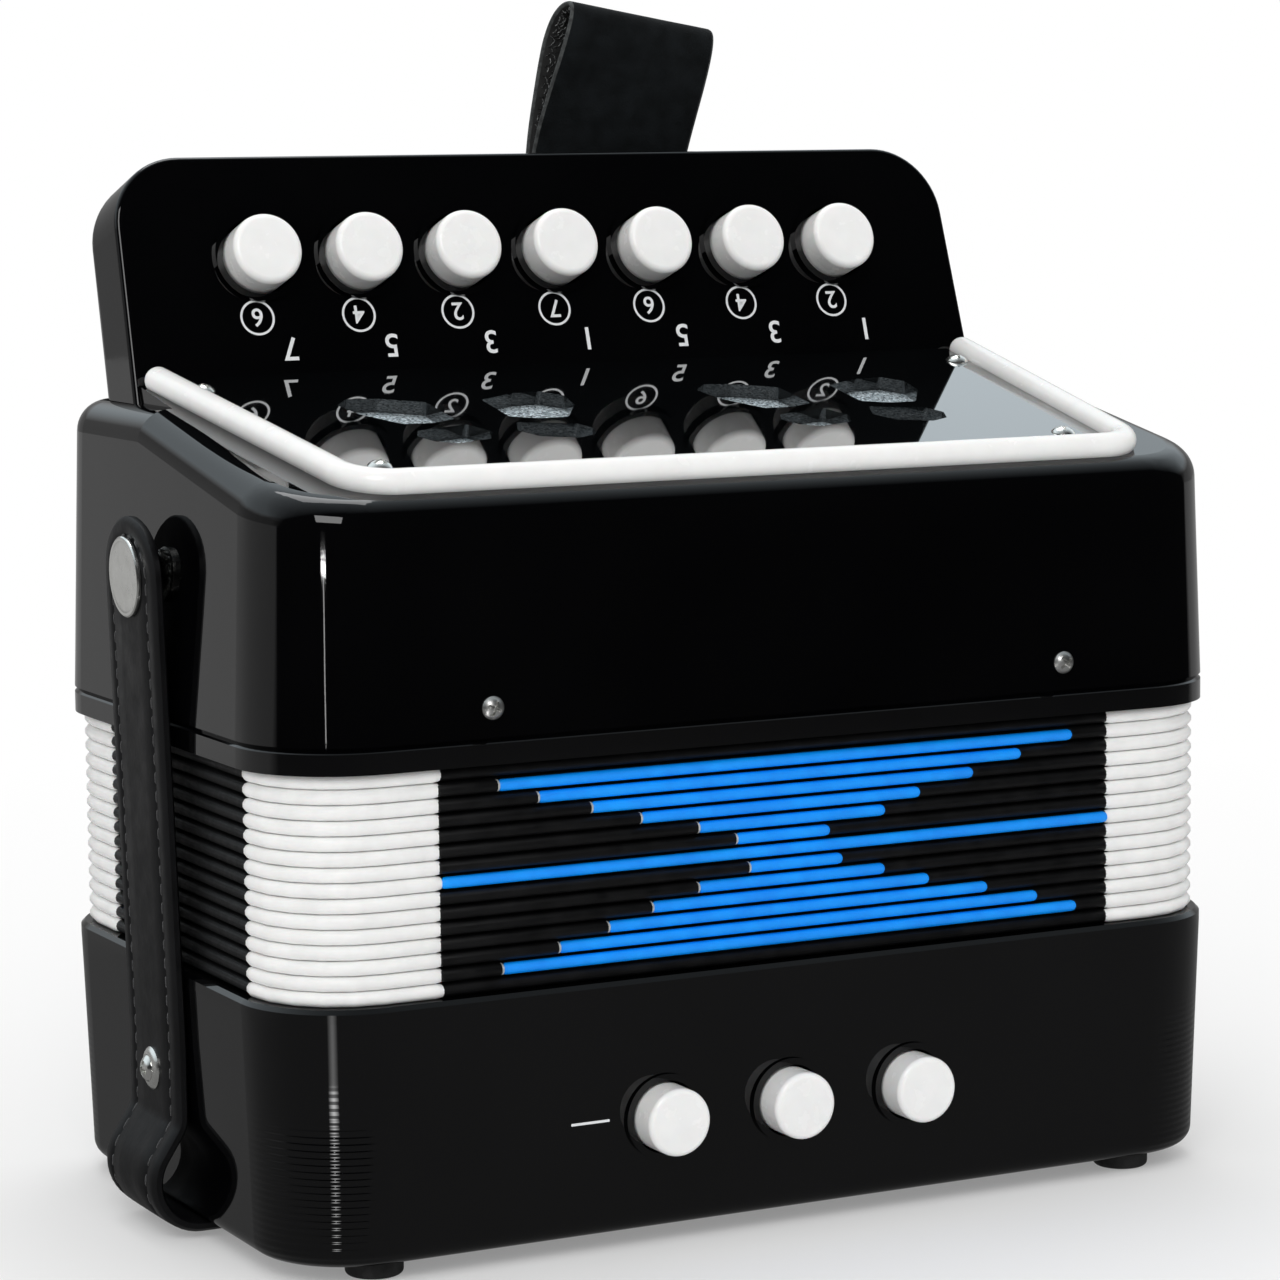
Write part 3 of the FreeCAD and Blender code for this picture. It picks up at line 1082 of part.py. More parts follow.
def make_thumb_strap():
    """Textile loop behind the keyboard: two plies at the screw, open above it, closed over the top."""
    frame = KEYBOARD.multiply(place("thumb_x", "thumb_height", "-key_depth"))
    frame = frame.multiply(place(0, 0, 0, "-thumb_roll_angle", (0, 0, 1)))
    body = new_body("thumb_strap")
    ply = "thumb_thickness"
    deep = "(2 * thumb_thickness + thumb_gap)"
    outline = new_sketch(body, "YZ_Plane")
    polygon(outline, (("-thumb_tail", 0), ("thumb_top", 0), ("thumb_top", "-" + deep),
                      ("thumb_flare", "-" + deep), ("thumb_split", "-2 * thumb_thickness"),
                      ("-thumb_tail", "-2 * thumb_thickness")))
    pad(body, outline, "2 * thumb_half_width", both=True)

    def crown(edge):
        box = edge.BoundBox
        return box.XLength > box.YLength + box.ZLength and box.YMin > number("thumb_top - thumb_thickness")
    round_edges(body, crown, deep + " / 2 - hair")
    crown_middle = "(thumb_top - thumb_thickness - thumb_gap / 2)"
    gap = new_sketch(body, "YZ_Plane")
    polygon(gap, ((crown_middle, "-" + ply), (crown_middle, "-thumb_thickness - thumb_gap"),
                  ("thumb_flare", "-thumb_thickness - thumb_gap"), ("thumb_split", "-" + ply)))
    pocket(body, gap, "2 * thumb_half_width + cut_overrun", both=True)
    turn = circle(new_sketch(body, "YZ_Plane"), crown_middle, "-thumb_thickness - thumb_gap / 2",
                  "thumb_gap / 2")
    pocket(body, turn, "2 * thumb_half_width + cut_overrun", both=True)
    way = circle(new_sketch(body, "XY_Plane"), 0, 0, "strap_screw_shank + screw_fit")
    pocket(body, way, "2 * thumb_thickness + cut_overrun")
    keep("thumb_strap", body, frame)
    seat = frame.multiply(place(0, 0, "-2 * thumb_thickness - thumb_screw_head"))
    head = cylinder("thumb_screw_head", "thumb_screw_radius", "thumb_screw_head", seat)
    pin = cylinder("thumb_screw_pin", "strap_screw_shank", "thumb_screw_length + thumb_screw_head", seat)
    keep("thumb_strap_screw", fuse("thumb_strap_screw", [head, pin]))


def make_all():
    make_bass_casing()
    make_ring("bass_frame", BASS_RIM, "bass_frame_height", BELLOWS_FOOT, "frame_chamfer")
    make_bass_board()
    make_axles()
    for name, x in zip(("air_lever", "bass_lever_1", "bass_lever_2"), bass_places()):
        make_crank(name, x)
    for name, x in zip(("air_button", "bass_button_1", "bass_button_2"), bass_places()):
        make_bass_button(name, x)
    bass_reed_y = number(BASS_AXLE_Y + " - bass_reach")
    make_reed_plates("bass_reed_plates", "bass_reed_width", "bass_reed_length", BASS_RIM, True,
                     [(x, bass_reed_y) for x in bass_places()[1:]], REEDS_PER_KEY)
    make_feet()
    make_hand_strap()
    make_bellows()
    make_ring("treble_frame", BELLOWS_TOP, "treble_frame_height", TREBLE_FLOOR, "seam_chamfer")
    make_treble_board()
    treble_reed_y = PIVOT.y - number("lever_reach")
    make_reed_plates("treble_reed_plates", "treble_reed_width", "treble_reed_length", TREBLE_FLOOR, False,
                     [(x, treble_reed_y) for x in key_places()], REEDS_PER_KEY)
    make_treble_casing()
    make_grille()
    make_bead()
    make_keyboard()
    for index, x in enumerate(key_places(), start=1):
        make_key(index, x)
    make_spring_comb("key_springs", key_places(), number("lever_hub_radius"),
                     PIVOT.y + number("spring_back"), PIVOT.y, number(BOARD_TOP), PIVOT.z, 1)
    make_spring_comb("bass_springs", bass_places(), number("bass_hub_radius"),
                     number(BASS_AXLE_Y + " + spring_back"), number(BASS_AXLE_Y),
                     number(BASS_RIM + " - board_thickness"), number(BASS_AXLE_RISE), -1)
    make_screws()
    make_side_strap("left", -1)
    make_side_strap("right", 1)
    make_studs()
    make_thumb_strap()


def check_and_write():
    """Nothing is written unless every object is sound."""
    document.recompute()
    for item in document.Objects:
        if "Invalid" in item.State or "Error" in item.State:
            raise RuntimeError("%s failed: %s" % (item.Label, item.State))
    for label, item in nodes.items():
        if item.Shape.isNull() or not item.Shape.isValid() or not item.Shape.Solids:
            raise RuntimeError(label + " has no sound shape")
    os.makedirs("parts", exist_ok=True)
    for label, item in nodes.items():
        item.Shape.exportStep(os.path.join("parts", label + ".step"))
        box = item.Shape.BoundBox
        print("%-20s solids %2d volume %9.1f  x %7.1f %7.1f  y %7.1f %7.1f  z %7.1f %7.1f" % (
            label, len(item.Shape.Solids), item.Shape.Volume, box.XMin, box.XMax, box.YMin, box.YMax,
            box.ZMin, box.ZMax))
    print(len(nodes), "nodes")


make_all()
check_and_write()
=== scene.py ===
import math

import bmesh
import bpy
from mathutils import Matrix, Vector


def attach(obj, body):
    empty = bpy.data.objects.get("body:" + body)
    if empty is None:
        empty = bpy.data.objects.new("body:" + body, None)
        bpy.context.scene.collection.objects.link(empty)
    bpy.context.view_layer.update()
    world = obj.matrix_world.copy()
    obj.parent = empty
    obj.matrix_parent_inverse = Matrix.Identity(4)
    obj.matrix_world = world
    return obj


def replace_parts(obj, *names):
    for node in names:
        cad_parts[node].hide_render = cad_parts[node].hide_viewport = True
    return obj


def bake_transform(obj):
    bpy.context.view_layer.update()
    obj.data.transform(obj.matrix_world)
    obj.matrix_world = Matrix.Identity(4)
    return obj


# %% [markdown]
# # A small button accordion
#
# The moulded boxes, keys, boards and reeds come finished from the CAD model and only get their
# surfaces here. What is soft or finely made is modelled in this file: the folded bellows with its
# white corners and blue cords, the stitched straps, the thumb loop, the snaps, screws and numbers.
# All lengths below are written in millimetres and multiplied by `mm`, because the model is in metres.

# %% The CAD frame
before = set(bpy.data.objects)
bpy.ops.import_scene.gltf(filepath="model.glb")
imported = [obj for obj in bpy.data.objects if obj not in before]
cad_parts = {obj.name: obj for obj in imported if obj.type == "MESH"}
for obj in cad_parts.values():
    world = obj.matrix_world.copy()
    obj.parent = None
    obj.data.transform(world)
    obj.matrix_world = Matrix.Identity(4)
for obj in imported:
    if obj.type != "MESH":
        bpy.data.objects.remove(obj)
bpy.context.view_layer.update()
mm = 0.001

# %% [markdown]
# ## Camera
#
# The camera stands where the photograph was taken: to the left of the front, a little above, and
# three quarters of a metre away with a long lens. It could be found by hand, but here its angles were
# solved from known corners of the boxes, so edges fall on the same pixels.

# %% The camera
PHOTO_SIDE = 1280
FOCAL_PIXELS = 4112.8
AIM_HEIGHT, BESIDE, ABOVE, AWAY = 78.2, 0.224, 14.597, 721.8
yaw, pitch, roll = (math.radians(angle) for angle in (27.169, 6.967, -0.608))
look = Vector((math.sin(yaw) * math.cos(pitch), math.cos(yaw) * math.cos(pitch), -math.sin(pitch)))
level = Vector((math.cos(yaw), -math.sin(yaw), 0))
rise = level.cross(look)
right_hand = math.cos(roll) * level + math.sin(roll) * rise
upward = math.cos(roll) * rise - math.sin(roll) * level
eye = Vector((0, 0, AIM_HEIGHT)) + BESIDE * right_hand + ABOVE * upward - AWAY * look
lens = bpy.data.cameras.new("camera")
lens.sensor_width = 36
lens.lens = lens.sensor_width * FOCAL_PIXELS / PHOTO_SIDE
lens.clip_start = 0.01
camera = bpy.data.objects.new("camera", lens)
stance = Matrix((right_hand, upward, -look)).transposed().to_4x4()
camera.matrix_world = Matrix.Translation(eye * mm) @ stance
bpy.context.scene.collection.objects.link(camera)
bpy.context.scene.camera = camera
bpy.context.scene.view_settings.view_transform = "Standard"
print("camera at", [round(value) for value in eye], "mm, lens", round(lens.lens, 1), "mm")

# %% [markdown]
# ## Building shader nodes
#
# Every finish below is a Principled shader whose colour, roughness and bump are driven by small
# procedural patterns. Linking nodes by hand is long-winded, so small helpers do it: one makes any node,
# some do arithmetic or mix, one makes noise of a given size in metres, and one starts a finish.

# %% Helpers for shader nodes
def shader_node(tree, kind, inputs=(), **settings):
    """One node: inputs are (socket, value or other node's output), settings are its own properties."""
    made = tree.nodes.new(kind)
    for name, value in settings.items():
        setattr(made, name, value)
    for socket, value in inputs:
        if isinstance(value, bpy.types.NodeSocket):
            tree.links.new(value, made.inputs[socket])
        else:
            made.inputs[socket].default_value = value
    return made


def arithmetic(tree, operation, *values):
    """The result of one step of arithmetic."""
    return shader_node(tree, "ShaderNodeMath", enumerate(values), operation=operation).outputs[0]


def product(tree, result, *others):
    """All the values multiplied."""
    for other in others:
        result = arithmetic(tree, "MULTIPLY", result, other)
    return result


def with_vectors(tree, operation, *values, gives="Vector"):
    """The result of one step of arithmetic on vectors."""
    return shader_node(tree, "ShaderNodeVectorMath", enumerate(values), operation=operation).outputs[gives]


def on_piece(tree):
    """Where a point lies on its own piece, in metres."""
    return shader_node(tree, "ShaderNodeTexCoord").outputs["Object"]


print("helpers for nodes and arithmetic are ready")

# %% Helpers for patterns and mixes
def grain(tree, size, detail=3.0, stretch=(1, 1, 1)):
    """Noise whose blotches are about `size` metres, drawn out along an axis where stretch is below 1."""
    spread = shader_node(tree, "ShaderNodeMapping", [("Vector", on_piece(tree)), ("Scale", stretch)])
    noise = shader_node(tree, "ShaderNodeTexNoise", [("Vector", spread.outputs["Vector"]),
                                                     ("Scale", 1 / size), ("Detail", detail)])
    return noise.outputs["Fac"]


def between(tree, factor, low, high, start=0.3, end=0.7):
    """A number that runs from low to high as the pattern runs from start to end."""
    ranged = shader_node(tree, "ShaderNodeMapRange", [("Value", factor), ("From Min", start),
                                                      ("From Max", end), ("To Min", low), ("To Max", high)])
    return ranged.outputs["Result"]


def tint(tree, factor, first, second):
    """A colour between two others."""
    mixed = shader_node(tree, "ShaderNodeMix", data_type="RGBA")
    tree.links.new(factor, mixed.inputs["Factor"])
    mixed.inputs[6].default_value = (*first, 1)
    mixed.inputs[7].default_value = (*second, 1)
    return mixed.outputs[2]


def number_between(tree, share, first, second):
    """A number between two others."""
    mixed = shader_node(tree, "ShaderNodeMix", [("Factor", share), ("A", first), ("B", second)])
    return mixed.outputs["Result"]


def light_between(tree, share, first, second):
    """A shader between two others, or one of them where the share is 0 or 1."""
    return shader_node(tree, "ShaderNodeMixShader", enumerate((share, first, second))).outputs[0]


print("helpers for patterns and mixes are ready")

# %% Helpers for finishes
def new_finish(name, first, second, patch, rough, rough_size, **sockets):
    """A finish with two colours mixed in patches and a roughness that varies between two values."""
    finish = bpy.data.materials.new(name)
    finish.use_nodes = True
    tree = finish.node_tree
    shader = tree.nodes["Principled BSDF"]
    tree.links.new(tint(tree, between(tree, grain(tree, patch), 0, 1), first, second),
                   shader.inputs["Base Color"])
    tree.links.new(between(tree, grain(tree, rough_size), *rough), shader.inputs["Roughness"])
    for socket, value in sockets.items():
        shader.inputs[socket.replace("_", " ")].default_value = value
    return finish


def add_bump(finish, height, depth):
    """Raises the finish by a pattern, `depth` metres from its lowest to its highest point."""
    tree = finish.node_tree
    shader = tree.nodes["Principled BSDF"]
    below = shader.inputs["Normal"].links
    inputs = [("Height", height), ("Distance", depth)]
    if below:
        inputs.append(("Normal", below[0].from_socket))
    bump = shader_node(tree, "ShaderNodeBump", inputs)
    tree.links.new(bump.outputs["Normal"], shader.inputs["Normal"])
    return finish


print("helpers for finishes are ready")

# %% [markdown]
# ## Moulded plastic
#
# The two boxes are injection moulded and polished: nearly black, mirror bright, with the faint
# unevenness of thin moulded walls and some wiping marks that only change the gloss. A low base colour
# does the black, and the look comes from what it reflects. The grille plate is polished further.

# %% Casing, plate, white plastic
casing_black = new_finish("casing_black", (0.0006, 0.0006, 0.0008), (0.0012, 0.0012, 0.0014), 0.03,
                          (0.015, 0.04), 0.012)
tree = casing_black.node_tree
add_bump(casing_black, grain(tree, 0.022, 1.0), 0.00005)
add_bump(casing_black, grain(tree, 0.0007, 2.0), 0.0000006)

# the lower box has the marks of its mould: fine level ripples near the corners
RIPPLE_PITCH, RIPPLE_DEPTH = 1.14 * mm, 0.03 * mm
casing_rippled = casing_black.copy()
casing_rippled.name = "casing_rippled"
tree = casing_rippled.node_tree
place = shader_node(tree, "ShaderNodeSeparateXYZ", [(0, on_piece(tree))]).outputs
ripple = arithmetic(tree, "SINE", product(tree, place["Z"], math.tau / RIPPLE_PITCH))
near_side = between(tree, arithmetic(tree, "ABSOLUTE", place["X"]), 0, 1, 0.068, 0.076)
near_front = between(tree, arithmetic(tree, "ABSOLUTE", place["Y"]), 0, 1, 0.034, 0.042)
low_down = between(tree, place["Z"], 1, 0, 0.024, 0.033)
add_bump(casing_rippled, product(tree, ripple, near_side, near_front, low_down), RIPPLE_DEPTH)

plate_black = new_finish("plate_black", (0.0006, 0.0008, 0.001), (0.001, 0.0013, 0.0016), 0.02,
                         (0.02, 0.05), 0.01, IOR=1.7, Coat_Weight=1.0, Coat_Roughness=0.02, Coat_IOR=1.6)
add_bump(plate_black, grain(plate_black.node_tree, 0.02, 1.0), 0.000006)


def white_plastic(name, first, second, rough):
    """White plastic lets a little light in and has a thin gloss."""
    finish = new_finish(name, first, second, 0.004, rough, 0.003, Subsurface_Weight=0.06,
                        Subsurface_Scale=0.002, Coat_Weight=0.2, Coat_Roughness=0.08)
    add_bump(finish, grain(finish.node_tree, 0.0016, 2.0), 0.000006)
    return finish


bead_white = white_plastic("bead_white", (0.83, 0.83, 0.82), (0.87, 0.87, 0.86), (0.16, 0.28))
button_white = white_plastic("button_white", (0.88, 0.88, 0.87), (0.92, 0.92, 0.91), (0.18, 0.30))
lever_plastic = new_finish("lever_plastic", (0.55, 0.52, 0.43), (0.63, 0.60, 0.50), 0.006,
                           (0.38, 0.55), 0.002)
add_bump(lever_plastic, grain(lever_plastic.node_tree, 0.0006), 0.00002)
print("plastics:", [finish.name for finish in (casing_black, plate_black, bead_white, button_white)])

# %% [markdown]
# ## Metals
#
# The snaps and the larger screws are nickel plated, slightly warm and worn by fingers, and the small
# screws are zinc plated and duller. The axles and springs are plain drawn steel with marks along their
# length, and the reeds are milled brass. Each is fully metallic, so its colour tints what it reflects.

# %% Metals
def metal(name, first, second, rough, marks, stretch, depth):
    """A metal with tool marks of a given size, drawn out where stretch is below 1."""
    finish = new_finish(name, first, second, 0.002, rough, 0.0015, Metallic=1.0)
    add_bump(finish, grain(finish.node_tree, marks, 2.0, stretch), depth)
    return finish


nickel = metal("nickel", (0.82, 0.82, 0.79), (0.92, 0.92, 0.89), (0.16, 0.30), 0.0006, (1, 1, 1), 0.000003)
zinc = metal("zinc", (0.82, 0.82, 0.80), (0.92, 0.92, 0.90), (0.30, 0.45), 0.0004, (1, 1, 1), 0.000004)
steel = metal("steel", (0.42, 0.42, 0.43), (0.55, 0.55, 0.56), (0.24, 0.42), 0.0004, (0.08, 1, 1), 0.000006)
brass = metal("brass", (0.66, 0.46, 0.17), (0.80, 0.60, 0.27), (0.22, 0.40), 0.0005, (1, 0.1, 1), 0.000008)
print("metals:", [finish.name for finish in (nickel, zinc, steel, brass)])

# %% [markdown]
# ## Wood, rubber, felt
#
# These are seen when the bellows is open or from below. The sound boards are plywood: long streaks
# along the grain, made by stretching one noise. The feet are matt rubber, and the pads under the
# pallets are red felt with a soft face, whose fibres are a fine noise and whose sheen lifts the rim.

# %% Board, rubber, felt
board_wood = new_finish("board_wood", (0.42, 0.27, 0.14), (0.62, 0.44, 0.26), 0.02, (0.5, 0.7), 0.004)
tree = board_wood.node_tree
streak = grain(tree, 0.0016, 4.0, (0.06, 1, 1))
tree.links.new(tint(tree, between(tree, streak, 0, 1), (0.40, 0.25, 0.13), (0.64, 0.46, 0.27)),
               tree.nodes["Principled BSDF"].inputs["Base Color"])
add_bump(board_wood, streak, 0.00006)

rubber = new_finish("rubber", (0.010, 0.010, 0.010), (0.022, 0.022, 0.022), 0.003, (0.62, 0.82), 0.001)
add_bump(rubber, grain(rubber.node_tree, 0.0004), 0.00003)

felt = new_finish("felt", (0.36, 0.035, 0.03), (0.50, 0.07, 0.055), 0.0015, (0.85, 1.0), 0.001,
                  Sheen_Weight=0.4, Sheen_Roughness=0.5)
add_bump(felt, grain(felt.node_tree, 0.0003, 4.0), 0.00012)
print("others:", [finish.name for finish in (board_wood, rubber, felt)])

# %% [markdown]
# ## Bellows cloth, white binding, blue cords
#
# The folds are card covered with thin black book cloth, so the cloth shows a fine crossed weave. Two
# wave patterns at right angles make it. The corners are bound with white coated cloth, smoother and
# with a slight shine, and the blue cords are a bright glossy coat over the crests. Where the black cloth
# is cut, a pale grey rim is partly its card's cut edge and partly a painted highlight along the rim.

# %% Bellows finishes
def weave(tree, pitch, across, along):
    """Over-and-under of threads: the product of two sets of waves."""
    spot = on_piece(tree)
    waves = []
    for direction in (across, along):
        along_it = with_vectors(tree, "DOT_PRODUCT", spot, direction, gives="Value")
        waves.append(arithmetic(tree, "SINE", product(tree, along_it, math.tau / pitch)))
    return between(tree, product(tree, *waves), 0, 1, -1, 1)


bellows_cloth = new_finish("bellows_cloth", (0.0022, 0.0022, 0.0025), (0.006, 0.006, 0.0065), 0.004,
                           (0.36, 0.55), 0.002, Specular_IOR_Level=0.34)
tree = bellows_cloth.node_tree
add_bump(bellows_cloth, weave(tree, 0.0007, (1, 1, 0), (1, -1, 1)), 0.00005)
add_bump(bellows_cloth, grain(tree, 0.003, 3.0), 0.00012)

binding_white = new_finish("binding_white", (0.80, 0.80, 0.79), (0.87, 0.87, 0.86), 0.004,
                           (0.30, 0.45), 0.002, Subsurface_Weight=0.05, Subsurface_Scale=0.001)
add_bump(binding_white, grain(binding_white.node_tree, 0.0008, 3.0), 0.00002)

# pale grey for the rims at the wraps' ends: partly the card's cut edge, partly a painted highlight
card_edge_and_highlight = new_finish("card_edge_and_highlight", (0.30, 0.31, 0.30), (0.50, 0.51, 0.50), 0.0006, (0.6, 0.8), 0.0008)
add_bump(card_edge_and_highlight, grain(card_edge_and_highlight.node_tree, 0.0004, 2.0), 0.00003)

cord_blue = new_finish("cord_blue", (0.0, 0.24, 0.88), (0.0, 0.31, 0.98), 0.005, (0.34, 0.48), 0.002,
                       Specular_IOR_Level=0.3)
add_bump(cord_blue, grain(cord_blue.node_tree, 0.0006, 3.0), 0.00002)
print("bellows finishes:", [finish.name for finish in (bellows_cloth, binding_white, cord_blue)])

# %% [markdown]
# ## Strap leather, thread, textile
#
# The side straps and the hand strap are imitation leather: a pebbled coat over cloth, black, with a
# soft shine where it bends. Voronoi cells give the pebbles. The thread is twisted, and the thumb loop
# is a napped textile on its outside and a coarse loop net on its inside, with shiny filaments whose
# pale patches are painted glints.

# %% Strap finishes
strap_leather = new_finish("strap_leather", (0.0025, 0.0025, 0.003), (0.005, 0.005, 0.006), 0.008,
                           (0.4, 0.55), 0.004, Specular_IOR_Level=0.3)
tree = strap_leather.node_tree
pebbles = shader_node(tree, "ShaderNodeTexVoronoi", [("Vector", on_piece(tree)), ("Scale", 1 / 0.0009),
                                                     ("Randomness", 0.9)], feature="SMOOTH_F1")
add_bump(strap_leather, pebbles.outputs["Distance"], 0.000025)
add_bump(strap_leather, grain(tree, 0.006, 2.0), 0.00003)

thread_black = new_finish("thread_black", (0.012, 0.012, 0.013), (0.03, 0.03, 0.032), 0.001,
                          (0.4, 0.6), 0.0006, Sheen_Weight=0.2)
add_bump(thread_black, grain(thread_black.node_tree, 0.00025, 2.0), 0.00005)

loop_nap = new_finish("loop_nap", (0.0022, 0.0034, 0.004), (0.0055, 0.0075, 0.009), 0.004, (0.75, 0.95),
                      0.001, Sheen_Weight=0.04, Sheen_Roughness=0.4, Specular_IOR_Level=0.2)
tree = loop_nap.node_tree
add_bump(loop_nap, grain(tree, 0.0004, 5.0), 0.00012)
add_bump(loop_nap, grain(tree, 0.0035, 2.0), 0.0001)

# dark nylon filaments; their pale patches, up to near white, are painted glints
loop_net = new_finish("loop_net", (0.06, 0.065, 0.065), (0.86, 0.88, 0.88), 0.0007, (0.15, 0.35), 0.0005,
                      Metallic=0.4)
add_bump(loop_net, grain(loop_net.node_tree, 0.0002, 2.0), 0.00002)
selvage = new_finish("selvage", (0.018, 0.02, 0.02), (0.06, 0.065, 0.065), 0.001, (0.6, 0.8), 0.0008)
add_bump(selvage, grain(selvage.node_tree, 0.0003, 3.0), 0.00008)
print("strap finishes:", [finish.name for finish in (strap_leather, thread_black, loop_nap, loop_net)])

# %% [markdown]
# ## Grille cloth and printing ink
#
# Behind the cut-outs lies silver cloth that glitters: many tiny flakes, each at its own angle. A
# Voronoi cell per flake gives every one its own brightness and roughness. The numbers are screen
# printed in white ink, which is slightly raised and less glossy than the plastic.

# %% Cloth and ink
glitter_cloth = new_finish("glitter_cloth", (0.4, 0.4, 0.42), (0.6, 0.6, 0.62), 0.002, (0.2, 0.4), 0.001,
                           Metallic=0.6)
tree = glitter_cloth.node_tree
flakes = shader_node(tree, "ShaderNodeTexVoronoi", [("Vector", on_piece(tree)), ("Scale", 1 / 0.0004)])
lightness = shader_node(tree, "ShaderNodeSeparateColor", [("Color", flakes.outputs["Color"])])
tree.links.new(tint(tree, lightness.outputs["Red"], (0.20, 0.26, 0.29), (0.86, 0.95, 1.0)),
               tree.nodes["Principled BSDF"].inputs["Base Color"])
tree.links.new(between(tree, lightness.outputs["Green"], 0.15, 0.6, 0, 1),
               tree.nodes["Principled BSDF"].inputs["Roughness"])
add_bump(glitter_cloth, lightness.outputs["Blue"], 0.00015)

ink_white = new_finish("ink_white", (0.74, 0.76, 0.77), (0.84, 0.85, 0.86), 0.002, (0.35, 0.5), 0.001)
add_bump(ink_white, grain(ink_white.node_tree, 0.0003, 2.0), 0.000008)
print("cloth and ink:", glitter_cloth.name, ink_white.name)

# %% [markdown]
# ## Painting the CAD parts
#
# Each CAD part names its material slot, so one table from slot to finish paints them all. The parts
# themselves aren't touched: only the material in their slot changes.

# %% The CAD parts get their finishes
FINISH_OF_SLOT = {
    "casing_black": casing_black, "plate": plate_black, "white_trim": bead_white, "button": button_white,
    "lever": lever_plastic, "pad": felt, "board": board_wood, "reeds": brass, "steel": steel,
    "plated": nickel, "feet": rubber, "strap": strap_leather, "webbing": loop_nap, "cloth": glitter_cloth,
    "bellows": bellows_cloth, "bellows_tape": binding_white,
}
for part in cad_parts.values():
    for holder in part.material_slots:
        holder.material = FINISH_OF_SLOT[holder.material.name.split(".")[0]]
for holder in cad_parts["bass_casing"].material_slots:
    holder.material = casing_rippled
print("painted", len(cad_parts), "CAD parts")

# %% [markdown]
# ## Making pieces from meshes
#
# Most soft things here are something carried along a path: folds round the bellows, a strap round
# the box, a cord along a crest. `sweep` does that the way a lathe and a bench do: straight runs are
# extruded and turns are spun. `round_end` closes an end with a nose, in steps of a half sphere.

# %% Helpers for meshes
def new_piece(name, shape, finish, body=None, crease=40):
    """Turns a finished bmesh into an object with smooth faces and sharp creases."""
    bmesh.ops.remove_doubles(shape, verts=shape.verts, dist=1e-6)
    bmesh.ops.recalc_face_normals(shape, faces=shape.faces)
    mesh = bpy.data.meshes.new(name)
    shape.to_mesh(mesh)
    shape.free()
    for paint in finish if isinstance(finish, tuple) else (finish,):
        mesh.materials.append(paint)
    mesh.polygons.foreach_set("use_smooth", [True] * len(mesh.polygons))
    mesh.set_sharp_from_angle(angle=math.radians(crease))
    piece = bpy.data.objects.new(name, mesh)
    bpy.context.scene.collection.objects.link(piece)
    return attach(piece, body) if body else piece


def new_parts(made, kind):
    """The corners, edges or faces among what an operator made."""
    return [item for item in made if isinstance(item, kind)]


def each_once(items):
    """The items without repeats, in the same order each run."""
    return list(dict.fromkeys(items))


def sweep(shape, edges, spot, heading, axis, moves, step=9.0):
    """Carries edges along moves: a number is a straight run, a pair is a turn's radius and degrees."""
    for move in moves:
        if isinstance(move, tuple):
            radius, angle = move
            centre = spot + axis.cross(heading) * math.copysign(radius, angle)
            corners = each_once(corner for edge in edges for corner in edge.verts)
            made = bmesh.ops.spin(shape, geom=edges + corners, cent=centre, axis=axis,
                                  angle=math.radians(angle), steps=max(1, round(abs(angle) / step)),
                                  use_duplicate=False)["geom_last"]
            about = Matrix.Rotation(math.radians(angle), 3, axis)
            spot, heading = centre + about @ (spot - centre), about @ heading
        else:
            made = bmesh.ops.extrude_edge_only(shape, edges=edges)["geom"]
            bmesh.ops.translate(shape, verts=new_parts(made, bmesh.types.BMVert), vec=heading * move)
            spot = spot + heading * move
        edges = new_parts(made, bmesh.types.BMEdge)
    return edges, spot, heading


def round_end(shape, edges, spot, heading, radius, steps=3):
    """Closes an open ring with a nose: each step goes on a little and draws the ring in."""
    width = 1.0
    gone = 0.0
    for step in range(1, steps + 1):
        angle = math.pi / 2 * step / steps
        made = bmesh.ops.extrude_edge_only(shape, edges=edges)["geom"]
        corners = new_parts(made, bmesh.types.BMVert)
        ahead = radius * math.sin(angle)
        bmesh.ops.translate(shape, verts=corners, vec=heading * (ahead - gone))
        gone = ahead
        share = max(math.cos(angle), 0.02)
        middle = spot + heading * ahead
        bmesh.ops.scale(shape, verts=corners, vec=(share / width,) * 3,
                        space=Matrix.Translation(-middle))
        width = share
        edges = new_parts(made, bmesh.types.BMEdge)
    bmesh.ops.edgeloop_fill(shape, edges=edges)


X, Y, Z = Vector((1, 0, 0)), Vector((0, 1, 0)), Vector((0, 0, 1))
print("helpers for meshes are ready")

# %% [markdown]
# ## Bellows folds
#
# The bellows is one sleeve of fifteen folds. Its profile is a chain of crests and valleys; bevelling
# the crest points rounds them like cord-filled folds. The chain is then carried round the box: four
# straight sides and four quarter turns. It could be fifteen rings, but one sleeve has real valleys.

# %% The black folds
FOLDS = 15
BELLOWS_LOW, BELLOWS_HIGH = 45.0 * mm, 82.1 * mm
PITCH = (BELLOWS_HIGH - BELLOWS_LOW) / FOLDS
SLEEVE_X, SLEEVE_Y, SLEEVE_TURN = 88.5 * mm, 52.5 * mm, 16.5 * mm
BLACK_BACK = 0.35 * mm
VALLEY = 2.2 * mm


def blend_bellows(piece, slot, *nodes):
    """Bakes a bellows piece's place into its mesh, and hides the CAD parts that it replaces."""
    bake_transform(piece)
    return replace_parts(piece, *nodes) if nodes else piece


